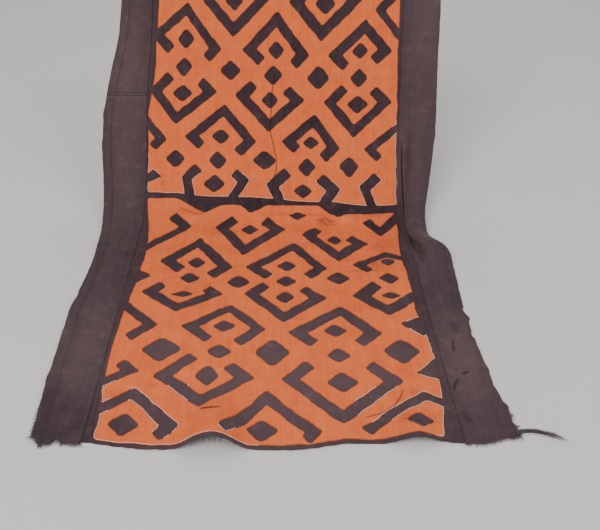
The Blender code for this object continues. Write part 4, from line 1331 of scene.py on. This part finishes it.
def fray_paths(draw):
    """Paths and radii of the loose threads round the hems."""
    paths, radii = [], []
    t = np.linspace(0.0, 1.0, FRAY_POINTS)
    for fray in FRAYS:
        for _ in range(fray.count):
            root, way, side = hem_point(fray, draw.random(), draw.uniform(-1, 1))
            angle = fray.spread * draw.gauss(0.0, FRAY_TURN)
            cos, sin = math.cos(angle), math.sin(angle)
            way = np.array((way[0] * cos - way[1] * sin, way[0] * sin + way[1] * cos))
            length = fray.length * draw.uniform(*FRAY_LENGTHS)
            bend = draw.uniform(-FRAY_BEND, FRAY_BEND) * length
            square = np.array((-way[1], way[0]))
            flat = root + way * (t * length)[:, None] + square * (bend * t ** 2)[:, None]
            flat[:, 1] = np.maximum(flat[:, 1], FRAY_REACH)
            base = draw.uniform(*FRAY_HEIGHTS)
            if abs(root[0]) < sizes().seam_place:
                height, _ = stand_off(*flat.T)
                off = height * (1.0 - 0.5 * t) + base * (1.0 - 0.6 * t) + 0.0002
                paths.append(on_cloth(*flat.T, off))
            else:
                height, _, _ = border_relief(side, (), *flat.T)
                placed = on_right_border if side > 0 else on_cloth
                paths.append(placed(*flat.T, height + base))
            radii.append(draw.uniform(*FRAY_RADII) * np.array(FRAY_TAPER))
    return paths, radii


def trail_paths(draw):
    """Paths and radii of the twisted thread that trails from the front right corner over the floor."""
    paths, radii = [], []
    start = float(outer_edge(1, 0.0))
    t = np.linspace(0.0, 1.0, TRAIL_POINTS)
    for k in range(TRAIL_STRANDS):
        reach = TRAIL_LENGTH * draw.uniform(*TRAIL_SHARES)
        twist = 2.0 * math.pi * (k / TRAIL_STRANDS) + TRAIL_TURN * t
        loose = draw.uniform(*TRAIL_LOOSE) * (1.0 - 0.30 * t) + TRAIL_END_LOOSE * draw.random() * t ** 3
        u = start - TRAIL_INSET + reach * t
        v = 0.002 - 0.010 * (u - start) / TRAIL_LENGTH + 0.004 * np.sin(5.0 * (u - start) / TRAIL_LENGTH)
        v = v + loose * np.cos(twist)
        height = 0.0004 + loose * (1.0 + np.sin(twist)) * 0.8
        paths.append(on_cloth(u, v, height))
        radii.append(draw.uniform(*TRAIL_RADII) * np.linspace(1.0, 0.4, len(t)))
    return paths, radii


def node(tree, kind, sockets=None, **settings):
    """Adds a shader node: sockets take a value or another node's output."""
    made = tree.nodes.new(kind)
    for key, value in settings.items():
        setattr(made, key, value)
    for key, value in (sockets or {}).items():
        if isinstance(value, bpy.types.NodeSocket):
            tree.links.new(value, made.inputs[key])
        else:
            made.inputs[key].default_value = value
    return made


def math_node(tree, operation, first, second=0.0, clamp=False):
    """The output of a Math node."""
    sockets = {0: first, 1: second}
    return node(tree, "ShaderNodeMath", sockets, operation=operation, use_clamp=clamp).outputs[0]


def vector_node(tree, operation, sockets):
    """The output of a Vector Math node."""
    return node(tree, "ShaderNodeVectorMath", sockets, operation=operation).outputs[0]


def mix_colours(tree, share, first, second):
    """The output of a Mix node for colours."""
    made = node(tree, "ShaderNodeMix", {"Factor": share, 6: first, 7: second}, data_type="RGBA")
    return made.outputs[2]


def noise_at(tree, place, scale, detail=2.0, roughness=0.5):
    """The output of a Noise node."""
    sockets = {"Vector": place, "Scale": scale, "Detail": detail, "Roughness": roughness}
    return node(tree, "ShaderNodeTexNoise", sockets).outputs["Fac"]


def stretched(tree, place, u_scale, v_scale):
    """Places scaled more one way than the other, for streaks along the threads."""
    sockets = {"Vector": place, "Scale": (u_scale, v_scale, 1.0)}
    return node(tree, "ShaderNodeMapping", sockets).outputs[0]


def spread(tree, value, low, high, new_low=0.0, new_high=1.0):
    """A value mapped from one range to another."""
    sockets = {"Value": value, "From Min": low, "From Max": high, "To Min": new_low, "To Max": new_high}
    return node(tree, "ShaderNodeMapRange", sockets).outputs[0]


def new_material(name):
    """(material, its node tree, its shader)."""
    made = bpy.data.materials.new(name)
    made.use_nodes = True
    return made, made.node_tree, made.node_tree.nodes["Principled BSDF"]


def weave_material(name, light, deep, pale, stain, dirt, sheen, edge_dark):
    """Plain-woven raffia: threads both ways, slubs, streaks of dye, stains, painted shade in its creases,
    cut edges darkened partly with painted shade, and on the dark cloth painted shade at its bend and
    painted sheen where it lies on the floor.
    """
    if name in bpy.data.materials:
        return bpy.data.materials[name]
    made, tree, shader = new_material(name)
    place = node(tree, "ShaderNodeAttribute", attribute_name="flat_place").outputs["Vector"]
    marks = {key: node(tree, "ShaderNodeAttribute", attribute_name=key).outputs["Fac"]
             for key in ("cut_edge", "dirt", "stain")}

    drift = node(tree, "ShaderNodeTexNoise", {"Vector": place, "Scale": 45.0, "Detail": 2.0})
    drift = vector_node(tree, "SUBTRACT", {0: drift.outputs["Color"], 1: (0.5, 0.5, 0.5)})
    drift = vector_node(tree, "SCALE", {0: drift, "Scale": 0.004})
    drifted = vector_node(tree, "ADD", {0: place, 1: drift})
    parts = node(tree, "ShaderNodeSeparateXYZ", {0: drifted})
    turn = math.pi / sizes().thread_pitch
    warp = math_node(tree, "SINE", math_node(tree, "MULTIPLY", parts.outputs[0], turn))
    weft = math_node(tree, "SINE", math_node(tree, "MULTIPLY", parts.outputs[1], turn))
    weave = spread(tree, math_node(tree, "MULTIPLY", warp, weft), -1.0, 1.0)

    warp_slubs = noise_at(tree, stretched(tree, drifted, 700.0, 20.0), 1.0, 3.0, 0.6)
    weft_slubs = noise_at(tree, stretched(tree, drifted, 20.0, 700.0), 1.0, 3.0, 0.6)
    slubs = math_node(tree, "ADD", warp_slubs, weft_slubs)
    streaks = noise_at(tree, stretched(tree, drifted, 150.0, 9.0), 1.0, 4.0, 0.6)
    patches = noise_at(tree, place, 11.0, 5.0, 0.62)
    blots = noise_at(tree, place, 46.0, 5.0, 0.66)

    share = math_node(tree, "ADD", spread(tree, slubs, 0.80, 1.20, 0.0, 0.55),
                      spread(tree, patches, 0.35, 0.68, 0.0, 0.40), clamp=True)
    share = math_node(tree, "ADD", share, spread(tree, streaks, 0.42, 0.70, -0.10, 0.30), clamp=True)
    share = math_node(tree, "ADD", share, spread(tree, weave, 0.0, 0.5, 0.22, 0.0), clamp=True)
    colour = mix_colours(tree, share, light, deep)
    colour = mix_colours(tree, spread(tree, blots, 0.54, 0.74, 0.0, 0.36), colour, stain)
    # Paler places: random faded tone, and on the dark cloth painted sheen where it lies on the floor
    faded_and_sheen = math_node(tree, "MULTIPLY", marks["stain"], -1.0, clamp=True)
    faded_and_sheen = math_node(tree, "ADD", faded_and_sheen, spread(tree, blots, 0.46, 0.30, 0.0, 0.30), clamp=True)
    colour = mix_colours(tree, faded_and_sheen, colour, pale)
    # Stains, and on the dark cloth painted shade where it bends off the floor
    patchy = spread(tree, blots, 0.30, 0.62, 0.25, 1.0)
    stained_and_shaded_by = math_node(tree, "MULTIPLY", marks["stain"], patchy, clamp=True)
    colour = mix_colours(tree, stained_and_shaded_by, colour, stain)
    # Painted shade along the creases, the groove and the join
    colour = mix_colours(tree, marks["dirt"], colour, dirt)
    # Darker at the cut edges: partly a dark outline of the cloth, partly painted shade at the raised edge
    rim = spread(tree, marks["cut_edge"], 0.25, 1.5, edge_dark, 0.0)
    colour = mix_colours(tree, rim, colour, dirt)
    tree.links.new(colour, shader.inputs["Base Color"])

    rough = spread(tree, math_node(tree, "ADD", patches, weave), 0.4, 1.6, 0.92, 0.74)
    tree.links.new(rough, shader.inputs["Roughness"])
    shader.inputs["Specular IOR Level"].default_value = 0.18
    shader.inputs["Sheen Weight"].default_value = sheen
    shader.inputs["Sheen Roughness"].default_value = 0.45
    thread_relief = math_node(tree, "MULTIPLY", weave, 0.55)
    relief = math_node(tree, "ADD", thread_relief, math_node(tree, "MULTIPLY", slubs, 0.9))
    bump = node(tree, "ShaderNodeBump", {"Strength": 0.60, "Distance": 0.0007, "Height": relief})
    tree.links.new(bump.outputs[0], shader.inputs["Normal"])
    return made


def orange_raffia():
    """The dyed orange cut-work."""
    tones = colours()
    return weave_material("orange raffia", tones.orange, tones.orange_deep, tones.orange_pale,
                          tones.orange_stain, tones.dirt, sheen=0.03, edge_dark=0.24)


def dark_raffia(name, wear):
    """The dark ground and border cloth, greyer where it is worn."""
    tones = colours()
    light, deep = ([channel + wear * lighter for channel in tone[:3]] + [1.0]
                   for tone, lighter in zip((tones.dark, tones.dark_deep), WORN_LIGHTER))
    return weave_material(name, light, deep, tones.dark_pale, tones.dark_stain_and_shade, tones.dark_stain_and_shade,
                          sheen=0.10, edge_dark=0.25)


def thread_material(name, colour, other):
    """Twisted thread: two tones that change along it."""
    made, tree, shader = new_material(name)
    place = node(tree, "ShaderNodeTexCoord").outputs["Object"]
    tone = spread(tree, noise_at(tree, place, 160.0, 3.0, 0.7), 0.35, 0.65)
    tree.links.new(mix_colours(tree, tone, colour, other), shader.inputs["Base Color"])
    rough = spread(tree, noise_at(tree, place, 420.0), 0.3, 0.7, 0.70, 0.90)
    tree.links.new(rough, shader.inputs["Roughness"])
    shader.inputs["Sheen Weight"].default_value = 0.15
    fibres = noise_at(tree, place, 1500.0, 2.0)
    bump = node(tree, "ShaderNodeBump", {"Strength": 0.4, "Distance": 0.0002, "Height": fibres})
    tree.links.new(bump.outputs[0], shader.inputs["Normal"])
    return made


def declare(thing, replaced=()):
    """Makes a piece ride on the cloth's body, and hides the solids that it stands for."""
    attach(thing, BODY)
    if replaced:
        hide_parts(*replaced)
    return thing


def nodes_of(start):
    """The names of the frame's nodes that start so."""
    return sorted(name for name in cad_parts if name.startswith(start))


class RAFFIA_OT_stage(bpy.types.Operator):
    """Makes the pale floor, the soft light and the camera"""

    bl_idname = "raffia.stage"
    bl_label = "Stage"

    def execute(self, context):
        floor_z = CAD_LOW.z - FLOOR_DROP
        mesh = bpy.data.meshes.new("floor")
        ways = ((-1, -1), (1, -1), (1, 1), (-1, 1))
        corners = [(x * FLOOR_REACH, y * FLOOR_REACH, floor_z) for x, y in ways]
        mesh.from_pydata(corners, [], [(0, 1, 2, 3)])
        paint, _, shader = new_material("floor paint")
        shader.inputs["Base Color"].default_value = FLOOR_COLOUR
        shader.inputs["Roughness"].default_value = 0.9
        mesh.materials.append(paint)
        linked("floor", mesh)

        world = bpy.data.worlds.new("studio")
        world.use_nodes = True
        background = world.node_tree.nodes["Background"]
        background.inputs[0].default_value = WORLD_COLOUR
        background.inputs[1].default_value = WORLD_STRENGTH
        context.scene.world = world
        for row in LAMPS:
            lamp = bpy.data.lights.new(row.name, "AREA")
            lamp.size, lamp.energy, lamp.color = row.size, row.power, row.colour
            way = Vector(LAMP_AIM) - Vector(row.place)
            linked(row.name, lamp, row.place, way.to_track_quat("-Z", "Y").to_euler())

        camera = bpy.data.cameras.new("camera")
        camera.lens = CAMERA_LENS
        camera.shift_x, camera.shift_y = CAMERA_SHIFT
        context.scene.camera = linked("camera", camera, CAMERA_PLACE, (math.pi / 2 - CAMERA_DOWN, 0.0, 0.0))
        return {"FINISHED"}


class RAFFIA_OT_ground(bpy.types.Operator):
    """Makes the dark ground cloth"""

    bl_idname = "raffia.ground"
    bl_label = "Ground cloth"

    def execute(self, context):
        made, sheet = make_ground()
        declare(made, nodes_of("ground_cloth"))
        return {"FINISHED"}


class RAFFIA_OT_cutwork(bpy.types.Operator):
    """Makes the two orange panels of cut-work and the sewing round their edges"""

    bl_idname = "raffia.cutwork"
    bl_label = "Cut-work"

    def execute(self, context):
        tones = colours()
        dark = thread_material("dark sewing", tones.sewing, tones.sewing_light)
        # Pale thread that paints a highlight along the turned edges
        pale = thread_material("pale sewing", tones.pale_highlight_sewing, tones.pale_highlight_sewing_deep)
        for panel in ("lower", "upper"):
            made, sheet = make_panel(panel)
            declare(made, nodes_of(f"cutwork_{panel}"))
            dark_paths, pale_highlight_paths = edge_stitches(panel, sheet)
            sewn = [sew(f"{panel}_dark_stitches", dark_paths, DARK_STITCH, dark),
                    sew(f"{panel}_pale_highlight_stitches", pale_highlight_paths, PALE_STITCH, pale)]
        return {"FINISHED"}


class RAFFIA_OT_borders(bpy.types.Operator):
    """Makes the dark borders of both sides, with their ridges, pleat and frayed ends"""

    bl_idname = "raffia.borders"
    bl_label = "Borders"

    def execute(self, context):
        join, top = sizes().border_join, sizes().cloth_length
        draw = random.Random(FRAY_SEED)
        frayed = thread_material("frayed raffia", colours().frayed, colours().frayed_deep)
        lower, lower_sheet = make_left_border("left_border_lower_cloth", -sizes().hem_lip, join)
        declare(lower, ["border_left_lower"])
        join += sizes().seam_gap
        upper, upper_sheet = make_left_border("left_border_upper_cloth", join, top, JOIN_RISE)
        declare(upper, ["border_left_upper"])
        fuzz = declare(threads("frayed_hems", *fray_paths(draw), FRAY_SIDES, frayed))
        trail = threads("trailing_thread", *trail_paths(draw), TRAIL_SIDES, frayed)
        declare(trail, ["frayed_end"])
        right, right_sheet = make_right_border()
        declare(right, ["border_right"])
        return {"FINISHED"}


class RAFFIA_OT_seams(bpy.types.Operator):
    """Makes the pale stitches of the left border's join and its line of top stitching"""

    bl_idname = "raffia.seams"
    bl_label = "Seams"

    def execute(self, context):
        tones = colours()
        pale = thread_material("worn pale sewing", tones.join_sewing, tones.join_sewing_deep)
        join, thick = sizes().border_join, sizes().border_thick
        paths = []
        for row in JOIN_STITCH_ROWS:
            for u in np.arange(*JOIN_STITCH_SPAN, JOIN_STITCH_PITCH):
                flat = np.array((u, join + row)) + JOIN_STITCH_FORM
                height, _, _ = border_relief(-1, (), *flat.T)
                top = JOIN_STITCH_TOP if row > 0 else 0.0
                paths.append(on_cloth(*flat.T, height + thick + top + (0.0, 0.0004, 0.0)))
        sew("border_join_stitches", paths, JOIN_STITCH, pale)

        dark = thread_material("dark top sewing", tones.top_sewing, tones.top_sewing_light)
        paths = []
        for v in np.arange(0.0, sizes().cloth_length - 0.006, TOP_STITCH_PITCH):
            rows = v + np.array(TOP_STITCH_FORM)
            u = -(seam() + top_stitch(-1, rows))
            height, raised, _ = border_relief(-1, (), u, rows)
            paths.append(on_cloth(u, rows, height + thick + raised + (0.0, 0.0003, 0.0)))
        sew("border_top_stitches", paths, TOP_STITCH, dark)
        return {"FINISHED"}


class RAFFIA_PT_panel(bpy.types.Panel):
    """Lists the steps that build the cloth, with its sizes and colours"""

    bl_idname = "RAFFIA_PT_panel"
    bl_label = "Raffia cloth"
    bl_space_type = "VIEW_3D"
    bl_region_type = "UI"
    bl_category = "Raffia cloth"

    def draw(self, context):
        layout = self.layout
        for step in STEPS:
            layout.operator(step.bl_idname)
        for group in (context.scene.raffia_sizes, context.scene.raffia_colours):
            box = layout.box()
            for key in group.bl_rna.properties.keys():
                if key not in ("rna_type", "name"):
                    box.prop(group, key)


STEPS = (RAFFIA_OT_stage, RAFFIA_OT_ground, RAFFIA_OT_cutwork, RAFFIA_OT_borders, RAFFIA_OT_seams)
CLASSES = (RaffiaSizes, RaffiaColours, *STEPS, RAFFIA_PT_panel)


def register():
    """Adds the cloth's settings, steps and panel to Blender."""
    for kind in CLASSES:
        bpy.utils.register_class(kind)
    bpy.types.Scene.raffia_sizes = PointerProperty(type=RaffiaSizes)
    bpy.types.Scene.raffia_colours = PointerProperty(type=RaffiaColours)


def unregister():
    """Takes them out again."""
    del bpy.types.Scene.raffia_colours
    del bpy.types.Scene.raffia_sizes
    for kind in reversed(CLASSES):
        bpy.utils.unregister_class(kind)


def main():
    """Builds the stage and every piece."""
    register()
    bpy.ops.raffia.stage()
    bpy.ops.raffia.ground()
    bpy.ops.raffia.cutwork()
    bpy.ops.raffia.borders()
    bpy.ops.raffia.seams()


if __name__ == "__main__":
    main()
